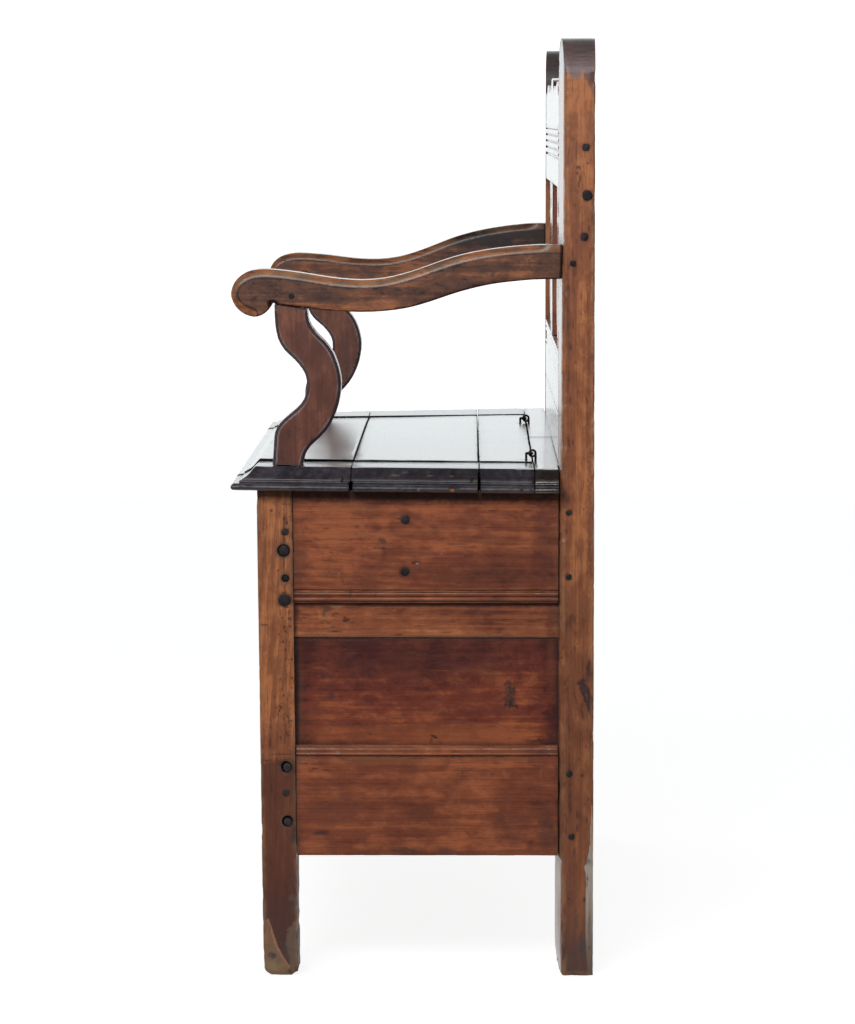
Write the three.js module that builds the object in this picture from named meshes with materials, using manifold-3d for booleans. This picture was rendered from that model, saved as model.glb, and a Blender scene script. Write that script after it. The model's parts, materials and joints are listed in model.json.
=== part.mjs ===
// Settle bench: a panelled box seat with a lift-up lid, scrolled arms on
// S-shaped supports, and a tall framed back with a shaped crest rail, a middle
// stile and four flat shaped splats between two round-headed posts.
//
// Units are millimetres. +Z is up, the front faces -Y, +X is the sitter's left
// hand side as seen from the front (the end called "right" below).
// The origin is on the floor, under the middle of the bench.

import * as THREE from 'three';
import { mergeVertices } from 'three/addons/utils/BufferGeometryUtils.js';
import Module from 'manifold-3d';

const wasm = await Module();
wasm.setup();

// ---------------------------------------------------------------------------
// Driving dimensions (mm)
// ---------------------------------------------------------------------------
const HEIGHT = 1000;          // floor to the top of the back posts
const END_X = 530;            // outer side face of the posts and legs
const SEAT_TIP_X = 556;       // tip of the seat moulding at each end
const FIT = 0.3;              // gap between pieces that touch

const BACK_POST_WIDTH = 76;   // along X
const BACK_POST_Y0 = 155.4;   // front face of the back posts
const BACK_POST_Y1 = 193.0;   // rear face of the back posts
const POST_HEAD_RISE = 43;    // height of the rounded head

const LEG_WIDTH = 70;         // front leg, along X
const LEG_Y0 = -166.3;        // front face of the front leg, at the seat
const LEG_Y1 = -128.4;        // rear face of the front leg, at the seat
const LEG_LEAN = 6.5;         // the front feet stand this much further back
const LEG_TOP = 519.9;

const SIDE_FACE_X = 528.5;    // outer face of the side rails
const SIDE_RAIL_T = 28;
const FRONT_FACE_Y = -165;    // outer face of the front rails
const FRONT_RAIL_T = 26;
const REAR_Y0 = 157;          // front face of the rails between the back posts
const REAR_Y1 = 183;

const RAIL_TOP_Z1 = 519.9;    // top rail, upper edge
const RAIL_TOP_Z0 = 400;      // top rail, lower edge (moulded)
const RAIL_LOW_Z1 = 247.6;    // bottom rail, upper edge (moulded)
const RAIL_LOW_Z0 = 129.3;    // bottom rail, lower edge
const PANEL_JOINT_Z = 362;    // joint between the two boards of a side panel
const TONGUE = 8;             // how far a panel goes into its groove

const SEAT_UNDER = 520.2;     // underside of the seat at Y = 0
const SEAT_T = 24.8;          // seat thickness
const SEAT_SLOPE = 0.0100;    // the seat falls this much per mm towards the back
const SEAT_FRONT_Y = -193.0;  // tip of the front moulding
const BOARD_JOINT_1 = -65.5;  // joints between the seat boards
const BOARD_JOINT_2 = 70.5;
const HINGE_GAP_Y0 = 128.3;   // rear edge of the lid
const HINGE_GAP_Y1 = 129.8;   // front edge of the fixed rear board
const LID_X = 414.8;          // half length of the lid
const FIXED_END_X = 416.4;    // where the fixed seat ends begin

const ARM_X0 = 478;           // arm and support, inner face
const ARM_X1 = 523;           // arm and support, outer face
const LEFT_ARM_RISE = 2.2;    // the left arm meets its post this much higher
const LEFT_ARM_FALL = 12;     // and falls this much more towards the scroll

const HINGE_Y = 128.9;        // hinge line
const HINGE_Z = 550.6;
const HINGE_X_RIGHT = 384;
const HINGE_X_LEFT = -249;
const EYE_R = 3.4;            // wire centre line of an eye
const WIRE_R = 1.3;

const CREST_Z0 = 840;
const MID_Z0 = 595;
const MID_Z1 = 664;
const MUNTIN_HALF = 38;       // half width of the stile in the middle of the back

// ---------------------------------------------------------------------------
// Solids from three.js geometry
// ---------------------------------------------------------------------------
function solidOf(geometry) {
  const g = geometry.clone();
  g.deleteAttribute('normal');
  g.deleteAttribute('uv');
  const m = mergeVertices(g, 1e-3);
  return new wasm.Manifold(new wasm.Mesh({
    numProp: 3,
    vertProperties: new Float32Array(m.attributes.position.array),
    triVerts: new Uint32Array(m.index.array),
  }));
}

function box(x0, x1, y0, y1, z0, z1) {
  const g = new THREE.BoxGeometry(x1 - x0, y1 - y0, z1 - z0);
  g.translate((x0 + x1) / 2, (y0 + y1) / 2, (z0 + z1) / 2);
  return solidOf(g);
}

function prism(points, depth, xAxis, yAxis, zAxis, offset) {
  const shape = new THREE.Shape(points.map(([a, b]) => new THREE.Vector2(a, b)));
  const g = new THREE.ExtrudeGeometry(shape, { depth, bevelEnabled: false, steps: 1 });
  g.applyMatrix4(new THREE.Matrix4().makeBasis(xAxis, yAxis, zAxis));
  g.translate(offset.x, offset.y, offset.z);
  return solidOf(g);
}

const EX = new THREE.Vector3(1, 0, 0);
const EY = new THREE.Vector3(0, 1, 0);
const EZ = new THREE.Vector3(0, 0, 1);
const MINUS_EY = new THREE.Vector3(0, -1, 0);

// outline in (y, z), drawn out along X
const prismX = (pts, x0, x1) => prism(pts, x1 - x0, EY, EZ, EX, new THREE.Vector3(x0, 0, 0));
// outline in (x, z), drawn out along Y
const prismY = (pts, y0, y1) => prism(pts, y1 - y0, EX, EZ, MINUS_EY, new THREE.Vector3(0, y1, 0));
// outline in (x, y), drawn out along Z
const prismZ = (pts, z0, z1) => prism(pts, z1 - z0, EX, EY, EZ, new THREE.Vector3(0, 0, z0));

// round peg or hole along X
function rodX(y, z, r, x0, x1, sides = 14) {
  const g = new THREE.CylinderGeometry(r, r, x1 - x0, sides);
  g.rotateZ(Math.PI / 2);
  g.translate((x0 + x1) / 2, y, z);
  return solidOf(g);
}

// round wire or hole along Z
function rodZ(x, y, r, z0, z1, sides = 10) {
  const g = new THREE.CylinderGeometry(r, r, z1 - z0, sides);
  g.rotateX(Math.PI / 2);
  g.translate(x, y, (z0 + z1) / 2);
  return solidOf(g);
}

function geometryOf(solid) {
  const m = solid.getMesh();
  const g = new THREE.BufferGeometry();
  g.setAttribute('position', new THREE.BufferAttribute(new Float32Array(m.vertProperties), 3));
  g.setIndex(new THREE.BufferAttribute(new Uint32Array(m.triVerts), 1));
  return g;
}

function mirrored(geometry) {
  const g = geometry.clone();
  const p = g.attributes.position;
  for (let i = 0; i < p.count; i++) p.setX(i, -p.getX(i));
  const ix = g.index.array;
  for (let i = 0; i < ix.length; i += 3) { const t = ix[i]; ix[i] = ix[i + 1]; ix[i + 1] = t; }
  return g;
}

// The front of the box leans: the feet of the front legs stand a little
// further back than their tops, and the rails and panels follow.
function leaned(g) {
  const p = g.attributes.position;
  for (let i = 0; i < p.count; i++) {
    const y = p.getY(i);
    const z = p.getZ(i);
    if (z >= LEG_TOP) continue;
    const near = Math.min(1, Math.max(0, (BACK_POST_Y0 - y) / (BACK_POST_Y0 - LEG_Y0)));
    p.setY(i, y + LEG_LEAN * (1 - z / LEG_TOP) * near);
  }
  return g;
}

// The seat falls slightly towards the back; every face that lies in the seat
// or touches its underside follows.
function tilted(g) {
  const p = g.attributes.position;
  for (let i = 0; i < p.count; i++) {
    if (p.getZ(i) > 508) p.setZ(i, p.getZ(i) - SEAT_SLOPE * p.getY(i));
  }
  return g;
}

// ---------------------------------------------------------------------------
// Finishes
// ---------------------------------------------------------------------------
const WOOD = {
  post: { color: 0x7a4f35, roughness: 0.42, metalness: 0 },
  rail: { color: 0x6e3f2a, roughness: 0.4, metalness: 0 },
  panel: { color: 0x5a2c22, roughness: 0.38, metalness: 0 },
  panelLight: { color: 0x8a5a38, roughness: 0.42, metalness: 0 },
  seat: { color: 0x45302a, roughness: 0.3, metalness: 0 },
  arm: { color: 0x5a3a2b, roughness: 0.35, metalness: 0 },
  support: { color: 0x6b3e2c, roughness: 0.36, metalness: 0 },
  inner: { color: 0x8a6a4a, roughness: 0.7, metalness: 0 },
  peg: { color: 0x2b2a2e, roughness: 0.5, metalness: 0 },
};
const IRON = { color: 0x34322f, roughness: 0.55, metalness: 0.8 };

// ---------------------------------------------------------------------------
// Scene graph
// ---------------------------------------------------------------------------
const bench = new THREE.Group();
const carcass = new THREE.Group();     // legs, rails, panels, floor
const back = new THREE.Group();        // back posts, rails and splats
const seat = new THREE.Group();        // fixed boards of the seat
const arms = new THREE.Group();
const lid = new THREE.Group();         // everything that lifts
carcass.position.set(0, 0, 0);
back.position.set(0, (BACK_POST_Y0 + BACK_POST_Y1) / 2, 0);
seat.position.set(0, 0, SEAT_UNDER);
arms.position.set(0, 0, SEAT_UNDER + SEAT_T);
lid.position.set(0, HINGE_Y, HINGE_Z);
bench.add(carcass, back, seat, arms, lid);

// Puts a piece in its group with its own origin at the middle of its box.
function add(group, name, solidOrGeometry, finish, { lean = false, tilt = false } = {}) {
  const g = solidOrGeometry.isBufferGeometry ? solidOrGeometry : geometryOf(solidOrGeometry);
  if (lean) leaned(g);
  if (tilt) tilted(g);
  g.computeBoundingBox();
  const c = g.boundingBox.getCenter(new THREE.Vector3());
  c.set(Math.round(c.x), Math.round(c.y), Math.round(c.z));
  g.translate(-c.x, -c.y, -c.z);
  g.computeVertexNormals();
  const mesh = new THREE.Mesh(g, new THREE.MeshStandardMaterial(finish));
  mesh.name = name;
  mesh.position.copy(c).sub(group.position);
  group.add(mesh);
  return mesh;
}

// The same piece at both ends of the bench.
function addPair(group, name, solid, finish, options) {
  const right = geometryOf(solid);
  add(group, `${name}_right`, right.clone(), finish, options);
  add(group, `${name}_left`, mirrored(right), finish, options);
}

// ---------------------------------------------------------------------------
// Moulding profiles, as [outward from the face, height]
// ---------------------------------------------------------------------------
function bead(out, z, r, n = 6) {
  const pts = [];
  for (let i = 0; i <= n; i++) {
    const a = (80 - (160 * i) / n) * Math.PI / 180;
    pts.push([out - r + r * Math.cos(a), z + r * Math.sin(a)]);
  }
  return pts;
}

// top rail: two reeds on its lower edge, groove for the panel below
function topRailProfile(t) {
  const z = RAIL_TOP_Z0;
  return [
    [-t, RAIL_TOP_Z1], [0, RAIL_TOP_Z1], [0, z + 14.6],
    [-2.2, z + 13.9], [-2.2, z + 13.0],
    ...bead(0.2, z + 10.0, 2.7), [-2.4, z + 6.9],
    ...bead(0.0, z + 4.2, 2.5), [-3.4, z + 1.2], [-3.4, z],
    [-10 + FIT, z], [-10 + FIT, z + TONGUE + FIT],
    [-22 - FIT, z + TONGUE + FIT], [-22 - FIT, z], [-t, z],
  ];
}

// bottom rail: fillet, cove and bead on its upper edge, panel groove on top,
// groove for the floor boards inside
function bottomRailProfile(t) {
  const z = RAIL_LOW_Z1;
  return [
    [-t, RAIL_LOW_Z0], [0, RAIL_LOW_Z0], [0, z - 12.9],
    [-2.2, z - 12.4], [-2.2, z - 11.6], ...bead(0.2, z - 9.0, 2.4).reverse(),
    [-2.4, z - 6.2], [-2.2, z - 4.8], [-3.0, z - 3.0], [-4.2, z - 1.9], [-4.2, z],
    [-10 + FIT, z], [-10 + FIT, z - TONGUE - FIT],
    [-22 - FIT, z - TONGUE - FIT], [-22 - FIT, z], [-t, z],
    [-t, 163], [-t + TONGUE + FIT, 163], [-t + TONGUE + FIT, 151], [-t, 151],
  ];
}

// seat edge, as [inward from the tip, height below the top]
const NOSE = [
  [26, 0], [24.8, -0.8], [23.2, -2.6], [21.2, -5.2], [18.8, -7.9], [16.2, -10.2],
  [13.6, -11.8], [11.6, -12.6], [11.4, -13.5], [9.9, -13.7], [8.9, -14.5],
  [8.6, -15.4], [9.0, -16.2], [6.4, -16.6], [3.4, -16.9], [1.5, -17.9],
  [0.4, -19.4], [0, -21.0], [0.5, -22.7], [1.8, -24.1], [4.0, -24.8],
];
const SEAT_TOP = SEAT_UNDER + SEAT_T;

// a seat board with the moulded nose at the front
function frontBoard(x0, x1, y1) {
  const pts = NOSE.map(([u, h]) => [SEAT_FRONT_Y + u, SEAT_TOP + h]);
  return prismX([...pts, [y1, SEAT_UNDER], [y1, SEAT_TOP]], x0, x1);
}

// the whole end moulding, used to shape the boards that reach the end
function endShape(x0, y0, y1) {
  const pts = NOSE.map(([u, h]) => [SEAT_TIP_X - u, SEAT_TOP + h]);
  return prismY([...pts, [x0, SEAT_UNDER], [x0, SEAT_TOP]], y0, y1);
}

// ---------------------------------------------------------------------------
// Pegs that pin the side rails into the front legs: [y, z, radius]
// ---------------------------------------------------------------------------
const PEGS = {
  peg_top_rail_upper: [-138.2, 456.5, 6.4],
  peg_top_rail_lower: [-136.6, 426.9, 3.5],
  peg_bottom_rail_upper: [-138.0, 224.6, 5.6],
  peg_bottom_rail_lower: [-138.2, 166.1, 5.4],
};
const PEG_X0 = 499;
const PEG_X1 = END_X + 0.5;

function withPegHoles(solid) {
  let s = solid;
  for (const [y, z, r] of Object.values(PEGS)) {
    s = s.subtract(rodX(y, z, r + FIT, PEG_X0 - 1, END_X + 5));
  }
  return s;
}

// ---------------------------------------------------------------------------
// Back posts
// ---------------------------------------------------------------------------
const POST_X0 = END_X - BACK_POST_WIDTH;
const POST_MID = END_X - BACK_POST_WIDTH / 2;
{
  const section = [
    [POST_X0, BACK_POST_Y0], [END_X - 4.2, BACK_POST_Y0], [END_X - 1.4, BACK_POST_Y0 + 1.4],
    [END_X, BACK_POST_Y0 + 4.2], [END_X, BACK_POST_Y1 - 1.6], [END_X - 1.6, BACK_POST_Y1],
    [POST_X0 + 1.6, BACK_POST_Y1], [POST_X0, BACK_POST_Y1 - 1.6],
  ];
  const outline = [[POST_X0, -1], [END_X, -1]];
  const n = 22;
  for (let i = 0; i <= n; i++) {
    const a = (Math.PI * i) / n;
    outline.push([
      POST_MID + (BACK_POST_WIDTH / 2) * Math.cos(a),
      HEIGHT - POST_HEAD_RISE + POST_HEAD_RISE * Math.sin(a),
    ]);
  }
  let post = prismZ(section, 0, HEIGHT)
    .intersect(prismY(outline, BACK_POST_Y0 - 2, BACK_POST_Y1 + 2));
  const cut = (...b) => { post = post.subtract(box(...b)); };
  // mortices for the side rails
  cut(507.7, 520.3, BACK_POST_Y0 - 1, 185.4, 412.7, 493.3);
  cut(507.7, 520.3, BACK_POST_Y0 - 1, 185.4, 138.7, 235.3);
  // groove for the side panel
  cut(506.2, 518.8, BACK_POST_Y0 - 1, BACK_POST_Y0 + TONGUE + FIT,
    RAIL_LOW_Z1 - TONGUE - FIT, RAIL_TOP_Z0 + TONGUE + FIT);
  // mortices for the crest, middle and rear rails
  cut(POST_X0 - 1, 490.4, 163.7, 176.3, 864.7, 930.3);
  cut(POST_X0 - 1, 490.4, 163.7, 176.3, 604.7, 650.3);
  cut(POST_X0 - 1, 490.4, 164.7, 177.3, 453.7, 506.3);
  cut(POST_X0 - 1, 490.4, 164.7, 177.3, 138.7, 209.3);
  // grooves for the lower back board and the rear panel
  cut(POST_X0 - 1, POST_X0 + TONGUE + FIT, 161.7, 180.3, 543.2, MID_Z0);
  cut(POST_X0 - 1, POST_X0 + TONGUE + FIT, 163.7, 176.3, 212.7, 451.3);
  // mortice for the arm, higher in the left post because that arm slopes more
  const armMortice = (dz) => box(491.7, 508.3, BACK_POST_Y0 - 1, 183.4, 751.7 + dz, 775.3 + dz);
  add(back, 'back_post_right', post.subtract(armMortice(0)), WOOD.post);
  add(back, 'back_post_left', mirrored(geometryOf(post.subtract(armMortice(LEFT_ARM_RISE)))), WOOD.post);
}

// ---------------------------------------------------------------------------
// Front legs
// ---------------------------------------------------------------------------
const LEG_X0 = END_X - LEG_WIDTH;
{
  const c = 1.4;
  let leg = prismZ([
    [LEG_X0, LEG_Y0], [END_X - c, LEG_Y0], [END_X, LEG_Y0 + c], [END_X, LEG_Y1], [LEG_X0, LEG_Y1],
  ], 0, LEG_TOP);
  const cut = (...b) => { leg = leg.subtract(box(...b)); };
  // mortices for the side rails and the groove for the side panel
  cut(507.7, 520.3, -159.4, LEG_Y1 + 1, 412.7, 493.3);
  cut(507.7, 520.3, -159.4, LEG_Y1 + 1, 138.7, 235.3);
  cut(506.2, 518.8, LEG_Y1 - TONGUE - FIT, LEG_Y1 + 1,
    RAIL_LOW_Z1 - TONGUE - FIT, RAIL_TOP_Z0 + TONGUE + FIT);
  // mortices for the front rails and the groove for the front panel
  cut(LEG_X0 - 1, 498.4, -158.3, -145.7, 427.7, 493.3);
  cut(LEG_X0 - 1, 498.4, -158.3, -145.7, 138.7, 231.3);
  cut(LEG_X0 - 1, LEG_X0 + TONGUE + FIT, -155.3, -142.7,
    RAIL_LOW_Z1 - TONGUE - FIT, RAIL_TOP_Z0 + TONGUE + FIT);
  // mortice for the foot tenon of the arm support
  cut(489.5, 510.5, -145.6, -130.4, 498.5, LEG_TOP + 2);
  leg = withPegHoles(leg);
  addPair(carcass, 'front_leg', leg, WOOD.post, { lean: true, tilt: true });
}

// ---------------------------------------------------------------------------
// Side frames: rails and panel boards
// ---------------------------------------------------------------------------
{
  const y0 = LEG_Y1 + FIT;
  const y1 = BACK_POST_Y0 - FIT;
  const toX = (pts) => pts.map(([u, z]) => [SIDE_FACE_X + u, z]);

  let top = prismY(toX(topRailProfile(SIDE_RAIL_T)), y0, y1);
  top = top.add(box(508, 520, -159, y0 + 1, 413, 493));
  top = top.add(box(508, 520, y1 - 1, 185, 413, 493));
  addPair(carcass, 'side_top_rail', withPegHoles(top), WOOD.rail, { lean: true, tilt: true });

  let low = prismY(toX(bottomRailProfile(SIDE_RAIL_T)), y0, y1);
  low = low.add(box(508.9, 520, -159, y0 + 1, 139, 235));
  low = low.add(box(508.9, 520, y1 - 1, 185, 139, 235));
  addPair(carcass, 'side_bottom_rail', withPegHoles(low), WOOD.rail, { lean: true });

  const px0 = SIDE_FACE_X - 22;
  const px1 = SIDE_FACE_X - 10;
  const py0 = LEG_Y1 - TONGUE;
  const py1 = BACK_POST_Y0 + TONGUE;
  addPair(carcass, 'side_panel_upper_board',
    box(px0, px1, py0, py1, PANEL_JOINT_Z + 0.2, RAIL_TOP_Z0 + TONGUE), WOOD.panelLight, { lean: true });
  addPair(carcass, 'side_panel_lower_board',
    box(px0, px1, py0, py1, RAIL_LOW_Z1 - TONGUE, PANEL_JOINT_Z - 0.2), WOOD.panel, { lean: true });
}

// ---------------------------------------------------------------------------
// Front frame: rails, middle muntin, two panels
// ---------------------------------------------------------------------------
const FY = FRONT_FACE_Y;
{
  const toY = (pts) => pts.map(([u, z]) => [FY - u, z]);
  const x1 = LEG_X0 - FIT;

  let top = prismX(toY(topRailProfile(FRONT_RAIL_T)), -x1, x1);
  for (const s of [-1, 1]) {
    const a = Math.min(s * (x1 - 1), s * 498);
    const b = Math.max(s * (x1 - 1), s * 498);
    top = top.add(box(a, b, -158, -146, 428, 493));
    // mortice for the bearer under the seat
    const m = [s * 400.7, s * 426.3].sort((p, q) => p - q);
    top = top.subtract(box(m[0], m[1], -151.4, -137, 493.7, 506.3));
  }
  // mortice for the muntin
  top = top.subtract(box(-22.3, 22.3, -155.3, -142.7, 407, 428.4));
  add(carcass, 'front_top_rail', top, WOOD.rail, { lean: true, tilt: true });

  let low = prismX(toY(bottomRailProfile(FRONT_RAIL_T)), -x1, x1);
  for (const s of [-1, 1]) {
    const a = Math.min(s * (x1 - 1), s * 498);
    const b = Math.max(s * (x1 - 1), s * 498);
    low = low.add(box(a, b, -158, -147.8, 139, 231));
  }
  low = low.subtract(box(-22.3, 22.3, -155.3, -142.7, 215.6, 241));
  add(carcass, 'front_bottom_rail', low, WOOD.rail, { lean: true });

  let muntin = box(-38, 38, FY + 0.5, FY + FRONT_RAIL_T, RAIL_LOW_Z1 + FIT, RAIL_TOP_Z0 - FIT);
  muntin = muntin.add(box(-22, 22, -155, -143, 216, 428));
  for (const s of [-1, 1]) {
    const g = [s * (38 - TONGUE - FIT), s * 39].sort((p, q) => p - q);
    muntin = muntin.subtract(box(g[0], g[1], -155.3, -142.7, 200, 440));
  }
  add(carcass, 'front_muntin', muntin, WOOD.rail, { lean: true });

  addPair(carcass, 'front_panel', box(38 - TONGUE, LEG_X0 + TONGUE, -155, -143,
    RAIL_LOW_Z1 - TONGUE, RAIL_TOP_Z0 + TONGUE), WOOD.panel, { lean: true });
}

// ---------------------------------------------------------------------------
// Rear frame of the box, floor boards and seat bearers
// ---------------------------------------------------------------------------
{
  const x1 = POST_X0 - FIT;
  let top = box(-x1, x1, REAR_Y0, REAR_Y1, 443, LEG_TOP)
    .add(box(-490, 490, 165, 177, 454, 506))
    .subtract(box(-x1 - 1, x1 + 1, 163.7, 176.3, 441, 451.3));
  for (const s of [-1, 1]) {
    const m = [s * 400.7, s * 426.3].sort((p, q) => p - q);
    top = top.subtract(box(m[0], m[1], REAR_Y0 - 1, 169.4, 493.7, 506.3));
  }
  add(carcass, 'rear_top_rail', top, WOOD.rail, { tilt: true });

  const low = box(-x1, x1, REAR_Y0, REAR_Y1, RAIL_LOW_Z0, 221)
    .add(box(-490, 490, 165.6, 177, 139, 209))
    .subtract(box(-x1 - 1, x1 + 1, 163.7, 176.3, 212.7, 223))
    .subtract(box(-x1 - 1, x1 + 1, REAR_Y0 - 1, REAR_Y0 + TONGUE + FIT, 151, 163));
  add(carcass, 'rear_bottom_rail', low, WOOD.rail);

  add(carcass, 'rear_panel', box(-(x1 + TONGUE), x1 + TONGUE, 164, 176, 213, 451), WOOD.inner);

  // two floor boards, notched round the legs and posts, held in grooves
  const fy0 = FY + FRONT_RAIL_T - TONGUE;
  const fy1 = REAR_Y0 + TONGUE;
  const floor = prismZ([
    [0.2, fy0], [LEG_X0 - 0.6, fy0], [LEG_X0 - 0.6, LEG_Y1 + 0.6], [508.4, LEG_Y1 + 0.6],
    [508.4, BACK_POST_Y0 - 0.6], [POST_X0 - 0.6, BACK_POST_Y0 - 0.6], [POST_X0 - 0.6, fy1], [0.2, fy1],
  ], 151.3, 162.7);
  addPair(carcass, 'floor_board', floor, WOOD.inner, { lean: true });

  // bearers under the saw cuts, so that both the lid and the fixed ends rest
  const bearer = box(396, 431, FY + FRONT_RAIL_T + FIT, REAR_Y0 - FIT, 490, LEG_TOP)
    .add(box(401, 426, -151, -138, 494, 506))
    .add(box(401, 426, 156, 169, 494, 506));
  addPair(carcass, 'seat_bearer', bearer, WOOD.inner, { lean: true, tilt: true });
}

// ---------------------------------------------------------------------------
// Fixed seat boards
// ---------------------------------------------------------------------------
{
  const mortice = box(489.5, 510.5, -145.6, -130.4, SEAT_UNDER - 2, SEAT_TOP + 2);
  const front = frontBoard(FIXED_END_X, SEAT_TIP_X + 5, BOARD_JOINT_1 - 0.2)
    .intersect(endShape(FIXED_END_X - 5, SEAT_FRONT_Y - 5, 0))
    .subtract(mortice);
  addPair(seat, 'seat_end_front', front, WOOD.seat, { tilt: true });

  addPair(seat, 'seat_end_middle',
    endShape(FIXED_END_X, BOARD_JOINT_1 + 0.2, BOARD_JOINT_2 - 0.2), WOOD.seat, { tilt: true });
  addPair(seat, 'seat_end_rear',
    endShape(FIXED_END_X, BOARD_JOINT_2 + 0.2, HINGE_GAP_Y1 - 0.5), WOOD.seat, { tilt: true });

  // rear board: full length in front of the posts, and between them to the
  // back of the rear rail
  const y1 = BACK_POST_Y0 - FIT;
  let rear = endShape(-10, HINGE_GAP_Y1, y1);
  rear = rear.add(solidOf(mirrored(geometryOf(rear))));
  rear = rear.add(box(-(POST_X0 - 0.5), POST_X0 - 0.5, y1 - 2, REAR_Y1, SEAT_UNDER, SEAT_TOP));
  for (const hx of [HINGE_X_RIGHT, HINGE_X_LEFT]) {
    rear = rear.subtract(rodZ(hx, HINGE_Y + EYE_R, WIRE_R + FIT, SEAT_UNDER - 3, SEAT_TOP + 3));
  }
  add(seat, 'seat_rear_board', rear, WOOD.seat, { tilt: true });
}

// ---------------------------------------------------------------------------
// Back: crest rail, middle rail, stile, lower board and four splats
// ---------------------------------------------------------------------------
const BX = POST_X0 - FIT;
const SPLAT_X = [-346, -146, 146, 346];
const SPLAT_Y0 = 160;
const SPLAT_Y1 = 172;

// half width of a splat against height: foot, belly, neck with a pointed
// knop, head
const SPLAT_HALF = [
  [664, 34], [675, 33], [677, 37], [682, 56], [690, 69], [702, 77], [718, 80], [734, 78],
  [748, 71], [759, 58], [766, 43], [771, 32], [778, 26], [787, 25], [793, 30], [796.5, 44],
  [799, 50], [801.5, 44], [805, 30], [810, 26], [816, 27], [821, 35], [825, 48], [830, 57],
  [834, 60], [840, 60],
];

// upper edge of the crest rail: a wide hump in the middle, one at each side
function crestTop(x) {
  const a = Math.abs(x);
  if (a < 208) return 945 + 16.5 * Math.cos((Math.PI * a) / 416) ** 2;
  if (a < 400) return 945 + 10.5 * Math.cos((Math.PI * (a - 304)) / 192) ** 2;
  return 945 + 2.5 * (1 - Math.cos((Math.PI * (a - 400)) / 108));
}
{
  const outline = [[-BX, CREST_Z0], [BX, CREST_Z0]];
  const n = 56;
  for (let i = 0; i <= n; i++) {
    const x = BX - (2 * BX * i) / n;
    outline.push([x, crestTop(x)]);
  }
  const F = REAR_Y0 - 1.2;    // the back's face stands almost level with the posts
  let crest = prismY(outline, F, REAR_Y1);
  crest = crest.add(box(-490, 490, 164, 176, 865, 930));
  // band of four reeds across the face
  const band = [[F + 7, 903], [F + 2, 903]];
  for (const z of [899, 891.3, 883.6, 875.9]) {
    for (const [o, h] of bead(1.4, z, 3.4, 5)) band.push([F - o, h]);
    band.push([F + 2, z - 3.85]);
  }
  band.push([F + 2, 871], [F + 7, 871]);
  crest = crest.subtract(box(-BX - 1, BX + 1, F - 2, F + 6, 871, 903));
  crest = crest.add(prismX(band, -BX, BX));

  let mid = prismX([
    [F, MID_Z0], [REAR_Y1, MID_Z0], [REAR_Y1, MID_Z1], [F, MID_Z1],
    [F, 656.6], [F + 2, 655.9], [F + 2, 655.1],
    ...bead(0.2, 652.3, 2.5).map(([o, h]) => [F - o, h]), [F + 2, 649.3], [F + 0.8, 648.3],
    [F + 0.8, 641.2],
    ...bead(0.2, 638.2, 2.5).map(([o, h]) => [F - o, h]), [F + 2, 635.2],
    [F + 2, 634.6], [F, 633.8],
  ], -BX, BX);
  mid = mid.add(box(-490, 490, 164, 176, 605, 650));

  // stile in the middle of the open part, with a fine groove along its sides
  let stile = box(-MUNTIN_HALF, MUNTIN_HALF, F, REAR_Y1 - 2, MID_Z1 + FIT, CREST_Z0 - FIT)
    .add(box(-24, 24, 163, 171, MID_Z1 - 12, CREST_Z0 + 12));
  for (const s of [-1, 1]) {
    const g = [s * (MUNTIN_HALF - 1.2), s * (MUNTIN_HALF + 1)].sort((p, q) => p - q);
    stile = stile.subtract(box(g[0], g[1], F + 0.9, F + 1.9, MID_Z1 - 1, CREST_Z0 + 1));
  }
  add(back, 'back_muntin', stile, WOOD.rail);

  for (const cx of [0, ...SPLAT_X]) {
    crest = crest.subtract(box(cx - 24.3, cx + 24.3, 162.7, 171.3, CREST_Z0 - 1, CREST_Z0 + 12.4));
    mid = mid.subtract(box(cx - 24.3, cx + 24.3, 162.7, 171.3, MID_Z1 - 12.4, MID_Z1 + 1));
  }
  add(back, 'back_crest_rail', crest, WOOD.rail);
  add(back, 'back_mid_rail', mid, WOOD.rail);
  add(back, 'back_lower_board',
    box(-(BX + TONGUE), BX + TONGUE, 162, 180, 543.7, MID_Z0 - FIT)
      .add(box(-BX, BX, F, 180, 543.7, MID_Z0 - FIT)), WOOD.rail);

  SPLAT_X.forEach((cx, i) => {
    const clamp = (z) => Math.min(Math.max(z, MID_Z1 + FIT), CREST_Z0 - FIT);
    const pts = [];
    for (const [z, h] of SPLAT_HALF) pts.push([cx + h, clamp(z)]);
    for (const [z, h] of [...SPLAT_HALF].reverse()) pts.push([cx - h, clamp(z)]);
    const splat = prismY(pts, SPLAT_Y0, SPLAT_Y1)
      .add(box(cx - 24, cx + 24, 163, 171, MID_Z1 - 12, CREST_Z0 + 12));
    add(back, `back_splat_${i + 1}`, splat, WOOD.rail);
  });
}

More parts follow.
